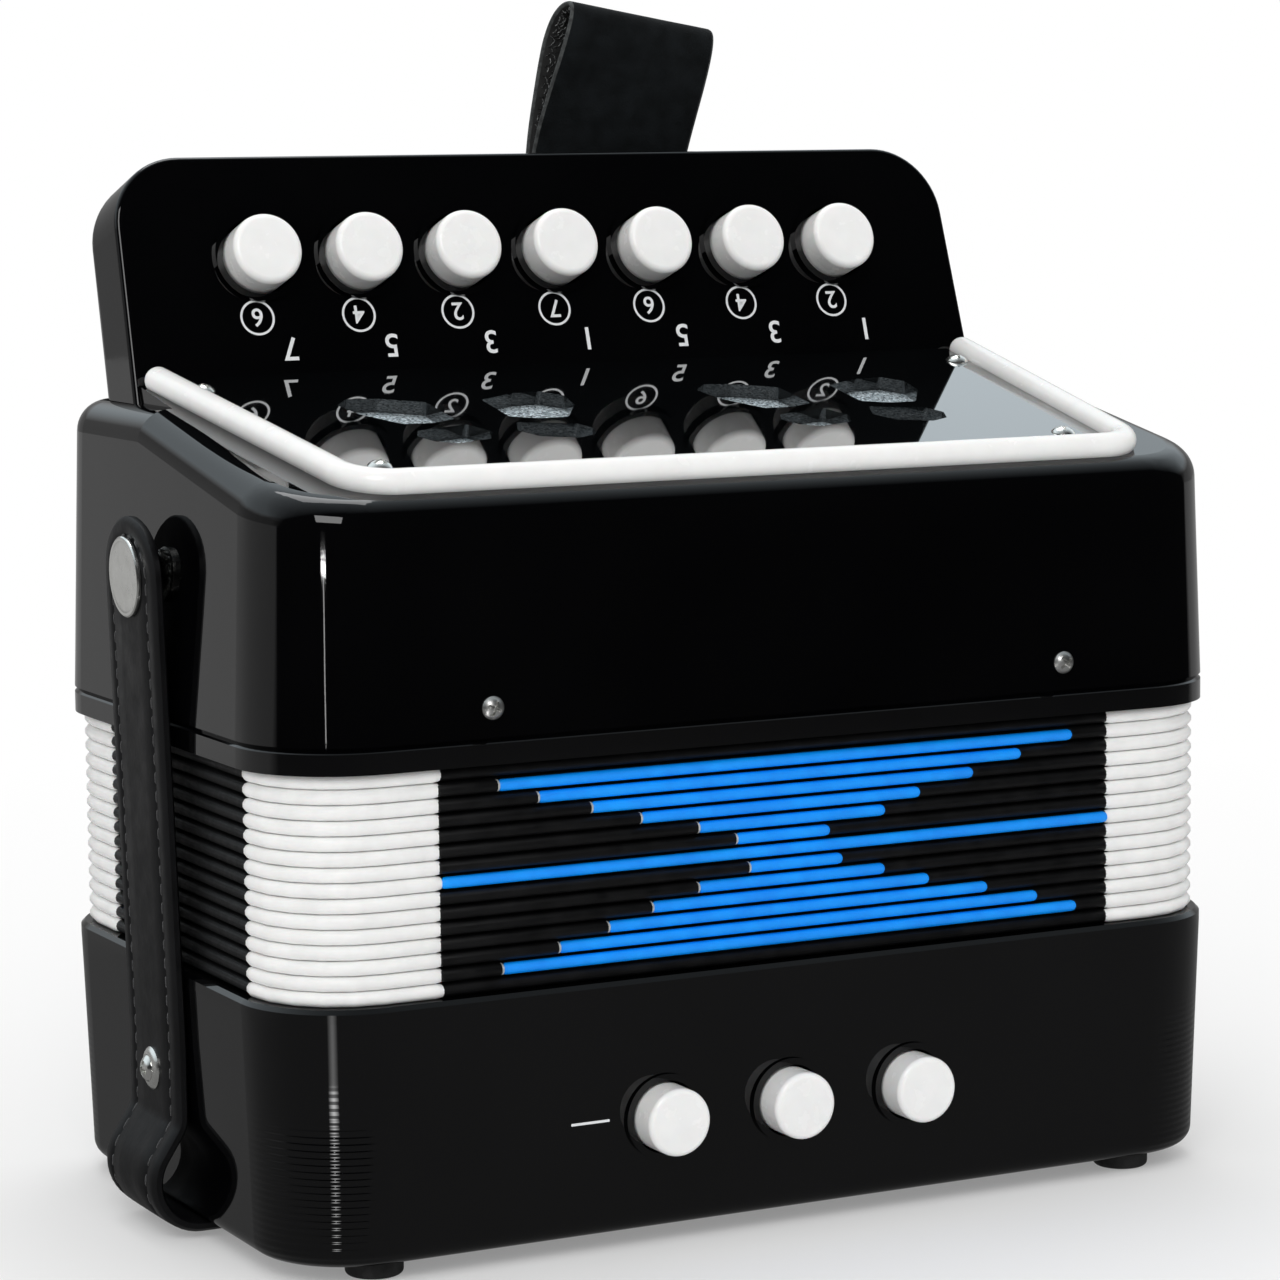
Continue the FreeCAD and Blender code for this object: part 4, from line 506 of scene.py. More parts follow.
sleeve = bmesh.new()
front = -SLEEVE_Y + BLACK_BACK
chain, crests = [], []
for fold in range(FOLDS):
    foot = BELLOWS_LOW + fold * PITCH
    chain.append(sleeve.verts.new((0, front + VALLEY, foot)))
    crests += [sleeve.verts.new((0, front, foot + PITCH * share)) for share in (0.16, 0.84)]
    chain += crests[-2:]
chain.append(sleeve.verts.new((0, front + VALLEY, BELLOWS_HIGH)))
for pair in zip(chain, chain[1:]):
    sleeve.edges.new(pair)
bmesh.ops.bevel(sleeve, geom=crests, offset=0.32 * PITCH, offset_type="OFFSET", segments=3, profile=0.5,
                affect="VERTICES", material=-1)
half_x, half_y = SLEEVE_X - SLEEVE_TURN, SLEEVE_Y - SLEEVE_TURN
quarter = (SLEEVE_TURN - BLACK_BACK, 90)
sweep(sleeve, sleeve.edges[:], Vector((0, front, 0)), X, Z,
      [half_x, quarter, 2 * half_y, quarter, 2 * half_x, quarter, 2 * half_y, quarter, half_x])
folds = new_piece("folds", sleeve, bellows_cloth, crease=60)
blend_bellows(folds, "bellows", "bellows_folds")
print("folds:", len(folds.data.polygons), "faces")

# %% [markdown]
# ## White corner binding
#
# Each fold is bound at its four corners with its own piece of white coated cloth, so the edge of the
# white shows a row of round noses. Each piece is a bent rod with round ends: a circle swept along the
# side, round the corner and along the next side. The rods nearly touch and leave a fine groove.

# %% The white corners
ROD_CORNERS, ROD_STEP = 10, 18.0
BINDING_RADIUS, BINDING_NOSE = 1.26 * mm, 1.9 * mm
FRONT_EDGE_LEFT, FRONT_EDGE_RIGHT = 63.0 * mm, 64.5 * mm
SIDE_EDGE_FRONT, SIDE_EDGE_BACK = 35.2 * mm, 27.4 * mm


def rod_ring(shape, radius, spot, heading):
    """A ring that stands across the heading, to be swept into a rod."""
    facing = heading.to_track_quat("Z", "Y").to_matrix().to_4x4()
    made = bmesh.ops.create_circle(shape, segments=ROD_CORNERS, radius=radius, cap_ends=False,
                                   matrix=Matrix.Translation(spot) @ facing)
    return each_once(edge for corner in made["verts"] for edge in corner.link_edges)


def rod(shape, radius, spot, heading, moves, nose=None):
    """A rod along a path in the level plane, with a nose at each end."""
    round_end(shape, rod_ring(shape, radius, spot, heading), spot, -heading, nose or radius)
    ring = rod_ring(shape, radius, spot, heading)
    last, spot, heading = sweep(shape, ring, spot, heading, Z, moves, ROD_STEP)
    round_end(shape, last, spot, heading, nose or radius)


binding = bmesh.new()
turn = (SLEEVE_TURN - BINDING_RADIUS, 90)
inner_x, inner_y = SLEEVE_X - BINDING_RADIUS, SLEEVE_Y - BINDING_RADIUS
to_left, to_right = half_x - FRONT_EDGE_LEFT, half_x - FRONT_EDGE_RIGHT
to_front, to_back = half_y - SIDE_EDGE_FRONT, half_y - SIDE_EDGE_BACK
for fold in range(FOLDS):
    height = BELLOWS_LOW + (fold + 0.5) * PITCH
    starts = (
        (Vector((FRONT_EDGE_RIGHT, -inner_y, height)), X, to_right, to_front),
        (Vector((inner_x, SIDE_EDGE_BACK, height)), Y, to_back, to_right),
        (Vector((-FRONT_EDGE_LEFT, inner_y, height)), -X, to_left, to_back),
        (Vector((-inner_x, -SIDE_EDGE_FRONT, height)), -Y, to_front, to_left),
    )
    for start, heading, before, after in starts:
        rod(binding, BINDING_RADIUS, start, heading, [before, turn, after], BINDING_NOSE)
corners = new_piece("corner_binding", binding, binding_white, crease=60)
blend_bellows(corners, "bellows_tape", "bellows_corners")
print("corner binding:", len(corners.data.polygons), "faces")

# %% [markdown]
# ## Blue cords
#
# The front of the bellows carries a plain geometric pattern of bright cords, one on the crest of each
# fold, long at the top and bottom and short in the middle, with one cord right across. Each is a
# straight rod a little proud of the fold, so light runs along it. All but the long one vanish on their
# left under black wraps with pale grey rims, which are rods too, a little thicker. Each rim is partly
# the card's cut edge and partly a painted highlight.

# %% The blue cords
CORD_RADIUS, CORD_PROUD = 0.98 * mm, 0.05 * mm
CORD_REACH = (
    (-52.1, 56.5), (-45.1, 46.2), (-35.6, 36.7), (-26.7, 26.3), (-16.2, 19.5), (-9.2, 8.9), (-62.2, 63.8),
    (-6.8, 11.3), (-16.3, 19.4), (-24.8, 28.0), (-32.8, 39.5), (-41.7, 49.5), (-51.8, 57.4),
)
cords = bmesh.new()
for row, (left, right) in enumerate(CORD_REACH, start=1):
    height = BELLOWS_LOW + (FOLDS - row - 0.5) * PITCH
    start = Vector((left * mm + CORD_RADIUS, -SLEEVE_Y + CORD_RADIUS - CORD_PROUD, height))
    rod(cords, CORD_RADIUS, start, X, [(right - left) * mm - 2 * CORD_RADIUS])
stripes = new_piece("blue_cords", cords, cord_blue, crease=60)
blend_bellows(stripes, "bellows_tape")
print("blue cords:", len(CORD_REACH), "rods,", len(stripes.data.polygons), "faces")

# %% Black wraps over the cords' left ends
WRAP_START, WRAP_PROUD, WRAP_OVER, WRAP_NOSE = -62.0 * mm, 0.02 * mm, 0.08 * mm, 0.7 * mm
EDGE_OVER, EDGE_BACK, EDGE_LENGTH = 0.06 * mm, 0.6 * mm, 0.71 * mm
wraps, card_rims_and_highlights = bmesh.new(), bmesh.new()
for row, (left, right) in enumerate(CORD_REACH, start=1):
    length = left * mm - WRAP_START
    if length > 0:
        height = BELLOWS_LOW + (FOLDS - row - 0.5) * PITCH
        start = Vector((WRAP_START, -SLEEVE_Y + CORD_RADIUS - WRAP_PROUD, height))
        rod(wraps, CORD_RADIUS + WRAP_OVER, start, X, [length], WRAP_NOSE)
        # a pale grey rim rod at the wrap's end: partly the card's cut edge, partly a painted highlight
        rod(card_rims_and_highlights, CORD_RADIUS + EDGE_OVER, start + X * (length - EDGE_BACK), X, [EDGE_LENGTH], WRAP_NOSE)
blend_bellows(new_piece("cord_wraps", wraps, bellows_cloth, crease=60), "bellows")
blend_bellows(new_piece("cord_wrap_rims_and_highlights", card_rims_and_highlights, card_edge_and_highlight, crease=60), "bellows_tape")
print("wraps over", len(CORD_REACH) - 1, "cords")

# %% [markdown]
# ## The long straps
#
# On each side one black strap runs from the snap on the treble end, down over the closed bellows, past
# its screw, out in a bulge and in under the box, where the two meet. It is a flat band with a pressed
# groove near each edge. Its section is drawn once and carried down the path, and the round end at the
# snap is half of that section spun half a turn. The strap bends at the screw.

# %% The two straps
SIDES = (("left", -1), ("right", 1))
STRAP_LEAN = 1.6
HINGE = Vector((90.9, 0, 32.5)) * mm
SNAP_UP = 77.1 * mm
BULGE_TURN, BULGE_OUT, BULGE_BEND = 7.8 * mm, 4.0 * mm, 33.0
LEAN_TURN = 40.0 * mm
END_SHARE = 0.86
lean_run = LEAN_TURN * math.tan(math.radians(STRAP_LEAN / 2))
bend_run = BULGE_OUT * math.tan(math.radians(BULGE_BEND / 2))
MEET = 19.248 * mm
STRAP_MOVES = [
    *[(SNAP_UP - lean_run - 8 * mm) / 8] * 8, *[2 * mm] * 4, (LEAN_TURN, -STRAP_LEAN),
    *[(HINGE.z - lean_run - MEET - bend_run) / 5] * 5, (BULGE_OUT, -BULGE_BEND),
    6.32 * mm - bend_run, (BULGE_TURN, BULGE_BEND + 90), *[10.97 * mm] * 8,
]
# The outer face of half a section: how far from the middle, and how far out.
STRAP_FACE = ((0, 1.0), (4.0, 1.0), (7.2, 0.98), (7.55, 0.68), (8.15, 0.68), (8.5, 0.96), (10.7, 0.86),
              (11.5, 0.3), (11.5, -0.6), (11.0, -1.0), (0, -1.0))


def strap_ends(side):
    """Where the strap starts, the way it goes down, and the way it faces."""
    lean = math.radians(STRAP_LEAN)
    up = Vector((side * math.sin(lean), 0, math.cos(lean)))
    top = Vector((side * HINGE.x, 0, HINGE.z)) + up * SNAP_UP
    return top, -up, Vector((side * math.cos(lean), 0, -math.sin(lean)))


def strap_axis(side):
    """The axis about which a turn of positive degrees bends the strap towards the box."""
    return Vector((0, side, 0))


def half_section(shape, middle, across, out):
    """Draws one half of the strap's section, from its middle outwards and back."""
    points = [middle + across * y * mm + out * n * mm for y, n in STRAP_FACE]
    marks = [shape.verts.new(point) for point in points]
    return [shape.edges.new(pair) for pair in zip(marks, marks[1:])]


def make_strap(label, side):
    """A strap from its round end to where it meets the other one under the box."""
    top, down, out = strap_ends(side)
    band = bmesh.new()
    # the round end: half a section spun half a turn about the snap
    edges = half_section(band, top, -Y, out)
    corners = each_once(corner for edge in edges for corner in edge.verts)
    bmesh.ops.spin(band, geom=edges + corners, cent=top, axis=out, angle=math.radians(-180) * side, steps=20,
                   use_duplicate=False)
    for corner in band.verts:
        corner.co += down * max((top - corner.co).dot(down), 0) * (1 - END_SHARE)
    # the band: both halves of the section carried down
    edges = half_section(band, top, Y, out) + half_section(band, top, -Y, out)
    last, _, _ = sweep(band, edges, top, down, strap_axis(side), STRAP_MOVES, 8.0)
    bmesh.ops.remove_doubles(band, verts=band.verts, dist=1e-6)
    bmesh.ops.edgeloop_fill(band, edges=[edge for edge in band.edges if edge.is_boundary])
    return new_piece(label, band, strap_leather, crease=50)


def blend_strap(piece, label):
    """Bakes a strap piece's place into its mesh."""
    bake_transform(piece)
    return piece


for label, side in SIDES:
    strap = blend_strap(make_strap(label + "_long_strap", side), label)
    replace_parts(strap, label + "_strap", "hand_strap")

# %% [markdown]
# ## Stitches
#
# The straps are sewn along both edges with black thread, three stitches to the centimetre, and the
# seam runs on round the end. Nearly three hundred are made, so each is a small stretched ball of
# twenty-four faces laid in the groove. A walk along the strap's own path says where each one lies.

# %% The seams
STITCH_EVERY = 3.1 * mm
SEAM_FROM_MIDDLE, SEAM_LIFT = 7.85 * mm, 0.72 * mm
STITCH_SIZE = (1.15 * mm, 0.34 * mm, 0.26 * mm)


def walk(spot, heading, axis, moves, every):
    """Points at equal distances along a path, each with the way the path goes there."""
    left = every / 2
    for move in moves:
        radius, angle = move if isinstance(move, tuple) else (None, 0)
        length = radius * math.radians(abs(angle)) if radius else move
        centre = spot + axis.cross(heading) * math.copysign(radius, angle) if radius else None
        while left < length:
            about = Matrix.Rotation(math.radians(angle) * left / length, 3, axis)
            if radius:
                yield centre + about @ (spot - centre), about @ heading
            else:
                yield spot + heading * left, heading
            left += every
        left -= length
        about = Matrix.Rotation(math.radians(angle), 3, axis)
        spot = centre + about @ (spot - centre) if radius else spot + heading * length
        heading = about @ heading


def stitch(shape, spot, heading, out):
    """One stitch: a small ball drawn out along the seam and pressed flat."""
    long, wide, high = STITCH_SIZE
    laid = Matrix((heading * long, out.cross(heading) * wide, out * high)).transposed().to_4x4()
    bmesh.ops.create_uvsphere(shape, u_segments=6, v_segments=4, radius=1,
                              matrix=Matrix.Translation(spot) @ laid)


for label, side in SIDES:
    top, down, out = strap_ends(side)
    axis = strap_axis(side)
    seam = bmesh.new()
    for spot, heading in walk(top, down, axis, STRAP_MOVES, STITCH_EVERY):
        outwards = heading.cross(axis)
        for across in (-SEAM_FROM_MIDDLE, SEAM_FROM_MIDDLE):
            stitch(seam, spot + outwards * SEAM_LIFT + Y * across, heading, outwards)
    around = [(SEAM_FROM_MIDDLE, 180 * side)]
    for spot, heading in walk(top - Y * SEAM_FROM_MIDDLE, -down, -out, around, STITCH_EVERY):
        spot = spot + down * (top - spot).dot(down) * (1 - END_SHARE)
        stitch(seam, spot + out * SEAM_LIFT, heading, out)
    sewn = blend_strap(new_piece(label + "_seam", seam, thread_black, crease=80), label)
    print(label, "seam:", len(sewn.data.polygons) // 24, "stitches")

# %% [markdown]
# ## Screws and snaps
#
# The metal parts are turned: a profile of radii and heights is spun about an axis. A screw then gets
# its cross: four cuts mark the arms on the domed head, and the faces between them are pushed in. One
# finished screw is stamped at every place, each turned by another angle, as no two stop alike.

# %% Helpers for turned things
def turned(profile, steps=28):
    """Spins a profile of (radius, height) pairs, in millimetres, about Z."""
    shape = bmesh.new()
    marks = [shape.verts.new((radius * mm, 0, height * mm)) for radius, height in profile]
    chain = [shape.edges.new(pair) for pair in zip(marks, marks[1:])]
    bmesh.ops.spin(shape, geom=marks + chain, cent=(0, 0, 0), axis=Z, angle=math.tau, steps=steps,
                   use_duplicate=False)
    bmesh.ops.remove_doubles(shape, verts=shape.verts, dist=1e-6)
    return shape


def stand(spot, axis, angle=0):
    """A place at a spot in millimetres, whose Z points along the axis."""
    facing = Vector(axis).to_track_quat("Z", "Y").to_matrix().to_4x4()
    return Matrix.Translation(Vector(spot) * mm) @ facing @ Matrix.Rotation(math.radians(angle), 4, "Z")


def stamp(shape, master, places):
    """Adds a copy of a finished shape at each place."""
    pattern = bpy.data.meshes.new("pattern")
    master.to_mesh(pattern)
    for place in places:
        before = len(shape.verts)
        shape.from_mesh(pattern)
        shape.verts.ensure_lookup_table()
        bmesh.ops.transform(shape, matrix=place, verts=shape.verts[before:])
    bpy.data.meshes.remove(pattern)
    return shape


def screw(head, rise, shank, length, arm, deep):
    """A round-headed screw about Z, with a cross recess whose arms are 2 * arm wide."""
    lip = 0.12
    ball = (head ** 2 + (rise - lip) ** 2) / (2 * (rise - lip))
    dome = [(head * share, rise - ball + math.sqrt(ball ** 2 - (head * share) ** 2))
            for share in (1.0, 0.94, 0.82, 0.66, 0.34)]
    shape = turned([(0, -length), (shank, -length), (shank, 0), (head, 0), *dome, (0, rise)])
    for normal in (X, Y):
        for side in (-1, 1):
            parts = shape.verts[:] + shape.edges[:] + shape.faces[:]
            bmesh.ops.bisect_plane(shape, geom=parts, plane_co=normal * side * arm * mm, plane_no=normal)
    recess = []
    for face in shape.faces:
        middle = face.calc_center_median()
        if middle.z > lip * mm and middle.xy.length < 0.66 * head * mm:
            if min(abs(middle.x), abs(middle.y)) < arm * mm:
                recess.append(face)
    pushed = new_parts(bmesh.ops.extrude_face_region(shape, geom=recess)["geom"], bmesh.types.BMVert)
    bmesh.ops.delete(shape, geom=[face for face in recess if face.is_valid], context="FACES_ONLY")
    bmesh.ops.translate(shape, verts=pushed, vec=-Z * deep * mm)
    bmesh.ops.scale(shape, verts=pushed, vec=(0.72, 0.72, 1))
    return shape


print("turning helpers are ready")

# %% Screws and washers
# screw() takes the head's radius and rise, the shank's radius and length, half an arm and its depth.
WALL_SCREW = Vector((53.4, 53.88, 91.2))
KEY_FOOT = Vector((0, 22.5, 133.2))
KEY_UP, KEY_OUT = Vector((0, 0.30736, 0.95159)), Vector((0, -0.95159, 0.30736))
KEY_BOSS_X, KEY_BOSS_UP, KEY_DEPTH = 72, (12, 36), 16
places = []
for side in (-1, 1):
    for facing, angle in ((-Y, 31 * side + 8), (Y, 22)):
        spot = (WALL_SCREW.x * side, WALL_SCREW.y * facing.y, WALL_SCREW.z)
        places.append(stand(spot, facing, angle))
    for up in KEY_BOSS_UP:
        spot = KEY_FOOT + X * KEY_BOSS_X * side + KEY_UP * up - KEY_OUT * KEY_DEPTH
        places.append(stand(spot, -KEY_OUT, up * side + 5))
small_screws = stamp(bmesh.new(), screw(1.9, 1.22, 0.95, 6.0, 0.26, 0.62), places)
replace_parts(new_piece("small_screws", small_screws, zinc, "treble_end", 30), "treble_screws")

SLOPE_ALONG, SLOPE_UP = Vector((0, 0.98163, 0.19081)), Vector((0, -0.19081, 0.98163))
PLATE_HEIGHT, PLATE_SCREWS = 134.6, ((74.4, 15), (64.5, -37))
places = []
for side in (-1, 1):
    for across, along in PLATE_SCREWS:
        spot = Vector((0, 0, PLATE_HEIGHT)) + X * across * side + SLOPE_ALONG * along + SLOPE_UP * 1.2
        places.append(stand(spot, SLOPE_UP, across * side))
plate_screws = stamp(bmesh.new(), screw(2.05, 1.15, 0.75, 2.4, 0.28, 0.55), places)
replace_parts(new_piece("plate_screws", plate_screws, nickel, "treble_end", 30), "grille_screws")

STRAP_SCREW_UP, SCREW_OUT, CUP_OUT = 27, 92.75, 91.9
places = [stand((SCREW_OUT * side, 0, STRAP_SCREW_UP), X * side, 17 * side) for side in (-1, 1)]
side_screws = stamp(bmesh.new(), screw(2.2, 1.2, 1.15, 7.8, 0.3, 0.7), places)
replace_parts(new_piece("side_screws", side_screws, nickel, "bass_end", 30), "strap_screws")
cup = turned([(1.35, 0.0), (3.6, 0.0), (3.6, 0.2), (3.2, 0.55), (2.6, 0.85), (2.2, 0.9), (1.35, 0.6),
              (1.35, 0.0)])
cups = stamp(bmesh.new(), cup, [stand((CUP_OUT * side, 0, STRAP_SCREW_UP), X * side) for side in (-1, 1)])
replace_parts(new_piece("cup_washers", cups, nickel, "bass_end", 30), "strap_washers")

LOOP_X, LOOP_SCREW_UP, LOOP_PLIES = 16.6, 27, 2.4
loop_spot = KEY_FOOT + X * LOOP_X + KEY_UP * LOOP_SCREW_UP - KEY_OUT * KEY_DEPTH
loop_screw = stamp(bmesh.new(), screw(3.2, 1.2, 1.15, 5.4, 0.35, 0.7),
                   [stand(loop_spot - KEY_OUT * LOOP_PLIES, -KEY_OUT, 40)])
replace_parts(new_piece("loop_screw", loop_screw, nickel, "treble_end", 30), "thumb_strap_screw")
print("screws and washers are in place")

# %% Snaps
SNAP_PROFILE = [
    (0, -1.05), (2.6, -1.05), (2.6, -2.5), (2.8, -2.75), (4.3, -2.75), (4.6, -2.5), (4.6, -1.15), (4.4, -1.0),
    (1.8, -1.0), (1.8, 1.0), (6.5, 1.0), (6.68, 1.1), (6.75, 1.35), (6.7, 1.62), (6.5, 1.8), (6.2, 1.86),
    (5.9, 1.8), (5.6, 1.72), (4.0, 1.8), (2.0, 1.84), (0, 1.86),
]
BEADS, BEAD_CIRCLE, BEAD_RADIUS, BEAD_DOWN = 20, 3.95, 0.42 * mm, 2.75
POST_OUT, POST_UP = 89.36, 109.5
for label, side in SIDES:
    top, down, out = strap_ends(side)
    cap = turned(SNAP_PROFILE, 48)
    for bead in range(BEADS):
        angle = math.tau * (bead + 0.5) / BEADS
        spot = Vector((BEAD_CIRCLE * math.cos(angle), BEAD_CIRCLE * math.sin(angle), -BEAD_DOWN)) * mm
        bmesh.ops.create_uvsphere(cap, u_segments=10, v_segments=8, radius=BEAD_RADIUS,
                                  matrix=Matrix.Translation(spot))
    snap = stamp(bmesh.new(), cap, [stand(top / mm, out)])
    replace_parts(new_piece(label + "_snap_cap", snap, nickel, label + "_strap", 30), label + "_snap")
post = turned([(0, -3.3), (1.8, -3.3), (1.8, 0.0), (3.6, 0.0), (3.8, 0.2), (3.6, 0.4), (1.7, 0.5), (1.7, 1.6),
               (2.1, 1.9), (1.9, 2.2), (0, 2.25)])
posts = stamp(bmesh.new(), post, [stand((POST_OUT * side, 0, POST_UP), X * side) for side in (-1, 1)])
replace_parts(new_piece("snap_posts", posts, nickel, "treble_end", 30), "snap_studs")
print("snaps are ready")

# %% [markdown]
# ## Thumb loop
#
# A band of hook-and-loop textile is folded over and screwed to the back of the keyboard. It bells out
# near its crown because the textile is stiff, and it stands a little turned and twisted. A smooth curve
# through a few points gives the fold, and the band's section is carried along it. Its inside is covered
# with small nylon loops that catch the light, and their pale patches are painted glints.

# %% The thumb loop
LOOP_TURN, LOOP_TWIST, LOOP_SKEW = (math.radians(angle) for angle in (13.2, 7, 5.5))
LOOP_REACH = 50
loop_up = X * math.sin(LOOP_TURN) + KEY_UP * math.cos(LOOP_TURN)
loop_side = X * math.cos(LOOP_TURN) - KEY_UP * math.sin(LOOP_TURN)
# How far up from the screw, and how far back from the keyboard.
LOOP_POINTS = (
    (-8, 0.62), (0, 0.62), (8, 0.62), (15, 0.62), (20, 0.5), (25.5, -0.8), (30, -2.7), (34.5, -4.9),
    (39, -7.1), (43, -8.7), (46, -9.5), (48.2, -9.5), (49.6, -8.6), (50.2, -6.7), (49.8, -4.4), (48.2, -2.2),
    (45, -0.4), (40.5, 0.7), (35.5, 1.5), (30, 2.3), (25.5, 2.7), (20, 2.7), (14, 2.3), (8, 1.95),
    (0, 1.85), (-8, 1.85),
)


def smooth_path(points, steps):
    """Points on a smooth curve through the given ones, each with its heading."""
    knots = [Vector(point) for point in points]
    knots = [2 * knots[0] - knots[1], *knots, 2 * knots[-1] - knots[-2]]
    path = []
    for a, b, c, d in zip(knots, knots[1:], knots[2:], knots[3:]):
        for step in range(steps):
            t = step / steps
            spot = 0.5 * (2 * b + (c - a) * t + (2 * a - 5 * b + 4 * c - d) * t * t
                          + (3 * b - a - 3 * c + d) * t ** 3)
            heading = 0.5 * ((c - a) + 2 * (2 * a - 5 * b + 4 * c - d) * t
                             + 3 * (3 * b - a - 3 * c + d) * t * t)
            path.append((spot, heading.normalized()))
    path.append((knots[-2], (knots[-1] - knots[-2]).normalized()))
    return path


def loop_place(spot, heading):
    """Where the band's section stands: across, outwards and onwards along the path."""
    on = loop_up * heading.x - KEY_OUT * heading.y
    out = loop_up * heading.y + KEY_OUT * heading.x
    turned_to = Matrix((loop_side, out, on)).transposed().to_4x4()
    middle = loop_up * spot.x - KEY_OUT * spot.y
    share = max(spot.x, 0) / LOOP_REACH
    twist = Matrix.Rotation(LOOP_TWIST * share, 4, loop_up)
    skew = Matrix.Rotation(LOOP_SKEW * share ** 2, 4, KEY_OUT)
    return Matrix.Translation(loop_spot * mm) @ twist @ Matrix.Translation(middle * mm) @ skew @ turned_to


# Half of the section's outline: how far from the middle, and how far out of the middle layer.
half_ply = ((15.7, 0.0), (15.6, 0.28), (15.2, 0.44), (12.5, 0.45), (6.0, 0.42), (0.0, 0.42))
LOOP_SECTION = [*half_ply, *[(-w, t) for w, t in half_ply[-2::-1]],
                *[(-w, -t) for w, t in half_ply[1:]], *[(w, -t) for w, t in half_ply[-2:0:-1]]]
EDGE_FROM, INSIDE_BELOW = 15.3 * mm, -0.2 * mm
path = smooth_path(LOOP_POINTS, 5)
band = bmesh.new()
places = [loop_place(spot, heading) for spot, heading in path]
ring = [band.verts.new(places[0] @ Vector((w * mm, t * mm, 0))) for w, t in LOOP_SECTION]
edges = [band.edges.new(pair) for pair in zip(ring, ring[1:] + ring[:1])]
band.faces.new(ring)
for before, after in zip(places, places[1:]):
    made = bmesh.ops.extrude_edge_only(band, edges=edges)["geom"]
    bmesh.ops.transform(band, matrix=after @ before.inverted(), verts=new_parts(made, bmesh.types.BMVert))
    for face in new_parts(made, bmesh.types.BMFace):
        spot = before.inverted() @ face.calc_center_median()
        face.material_index = 2 if abs(spot.x) > EDGE_FROM else 1 if spot.y < INSIDE_BELOW else 0
    edges = new_parts(made, bmesh.types.BMEdge)
bmesh.ops.edgeloop_fill(band, edges=edges)
textile = new_piece("thumb_loop", band, (loop_nap, rubber, selvage), "treble_end", 50)
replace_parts(textile, "thumb_strap")
print("thumb loop:", len(path), "steps")

# %% The small nylon loops on its inside
NET_LOOP, NET_THREAD, NET_EVERY = 0.38 * mm, 0.16 * mm, 1.16
NET_FROM, NET_HALF, NET_IN = 12, 14.9 * mm, 0.42 * mm
nylon = bmesh.new()
# the ring lies in the plane that it is spun in, so each loop comes out as a flat half ring
circle = Matrix.Translation(X * NET_LOOP) @ Matrix.Rotation(math.pi / 2, 4, "X")
ring = bmesh.ops.create_circle(nylon, segments=4, radius=NET_THREAD, cap_ends=False, matrix=circle)["verts"]
rim = each_once(edge for corner in ring for edge in corner.link_edges)
bmesh.ops.spin(nylon, geom=ring + rim, cent=(0, 0, 0), axis=Y, angle=-math.pi, steps=5, use_duplicate=False)
places = []
for row, (spot, heading) in enumerate(path):
    if spot.x > NET_FROM:
        base = loop_place(spot, heading)
        for column in range(-13, 14):
            across = (column * NET_EVERY + (NET_EVERY / 2 if row % 2 else 0)) * mm
            if abs(across) > NET_HALF:
                continue
            # an uneven number from 0 to 1, the same in each run
            wobble = math.sin(row * 12.9898 + column * 78.233) * 43758.5453
            wobble -= math.floor(wobble)
            place = base @ Matrix.Translation((across + 0.3 * mm * wobble, -NET_IN, 0.4 * mm * wobble))
            places.append(place @ Matrix.Rotation(math.pi / 2, 4, "X") @ Matrix.Rotation(wobble * 6, 4, "Z"))
fuzz = new_piece("thumb_loop_net", stamp(bmesh.new(), nylon, places), loop_net, "treble_end", 60)
print(len(places), "nylon loops")

# %% [markdown]
# ## Printed numbers
#
# The keys are numbered in two rows of plain figures, ringed in the row nearer to the buttons, and they
# stand on their heads for the player, who looks down on them. Each figure is Blender's own font made
# into a mesh a few hundredths of a millimetre thick. A dash on the bass end points to the air button.

# %% Numbers and rings
FIGURE_SIZE, FIGURE_BOLDER, RINGED_SHARE = 5.9 * mm, 0.05 * mm, 0.78
RING_IN, RING_OUT = 2.78, 3.18
INK_MM = 0.03
INK = INK_MM * mm
# Each row: its figures, the place of the first, the pitch, the height, and whether they are ringed.
NUMBER_ROWS = (("6427642", -58.9, 19.05, 17.65, True), ("7531531", -53.6, 19.2, 11.9, False))


def figure(shape, sign, place):
    """Adds one printed figure, centred on its place."""
    drawn = bpy.data.curves.new("figure", "FONT")
    drawn.body, drawn.size, drawn.extrude, drawn.offset = sign, FIGURE_SIZE, INK / 2, FIGURE_BOLDER
    drawn.resolution_u = 5
    holder = bpy.data.objects.new("figure", drawn)
    bpy.context.scene.collection.objects.link(holder)
    mesh = bpy.data.meshes.new_from_object(holder.evaluated_get(bpy.context.evaluated_depsgraph_get()))
    bpy.data.objects.remove(holder)
    bpy.data.curves.remove(drawn)
    before = len(shape.verts)
    shape.from_mesh(mesh)
    shape.verts.ensure_lookup_table()
    corners = shape.verts[before:]
    low = Vector([min(corner.co[axis] for corner in corners) for axis in range(3)])
    high = Vector([max(corner.co[axis] for corner in corners) for axis in range(3)])
    bmesh.ops.translate(shape, verts=corners, vec=-(low + high) / 2)
    bmesh.ops.transform(shape, matrix=place, verts=corners)
    bpy.data.meshes.remove(mesh)


ink = bmesh.new()
upside_down = Matrix((-X, -KEY_UP, KEY_OUT)).transposed().to_4x4()
half_ink = INK_MM / 2
ring = turned([(RING_IN, -half_ink), (RING_OUT, -half_ink), (RING_OUT, half_ink), (RING_IN, half_ink),
               (RING_IN, -half_ink)], 40)
for signs, first, pitch, up, ringed in NUMBER_ROWS:
    for column, sign in enumerate(signs):
        spot = KEY_FOOT + X * (first + pitch * column) + KEY_UP * up + KEY_OUT * half_ink
        place = Matrix.Translation(spot * mm) @ upside_down
        figure(ink, sign, place @ Matrix.Scale(RINGED_SHARE, 4) if ringed else place)
        if ringed:
            stamp(ink, ring, [place])
new_piece("key_numbers", ink, ink_white, "treble_end", 30)
print("numbers are printed")

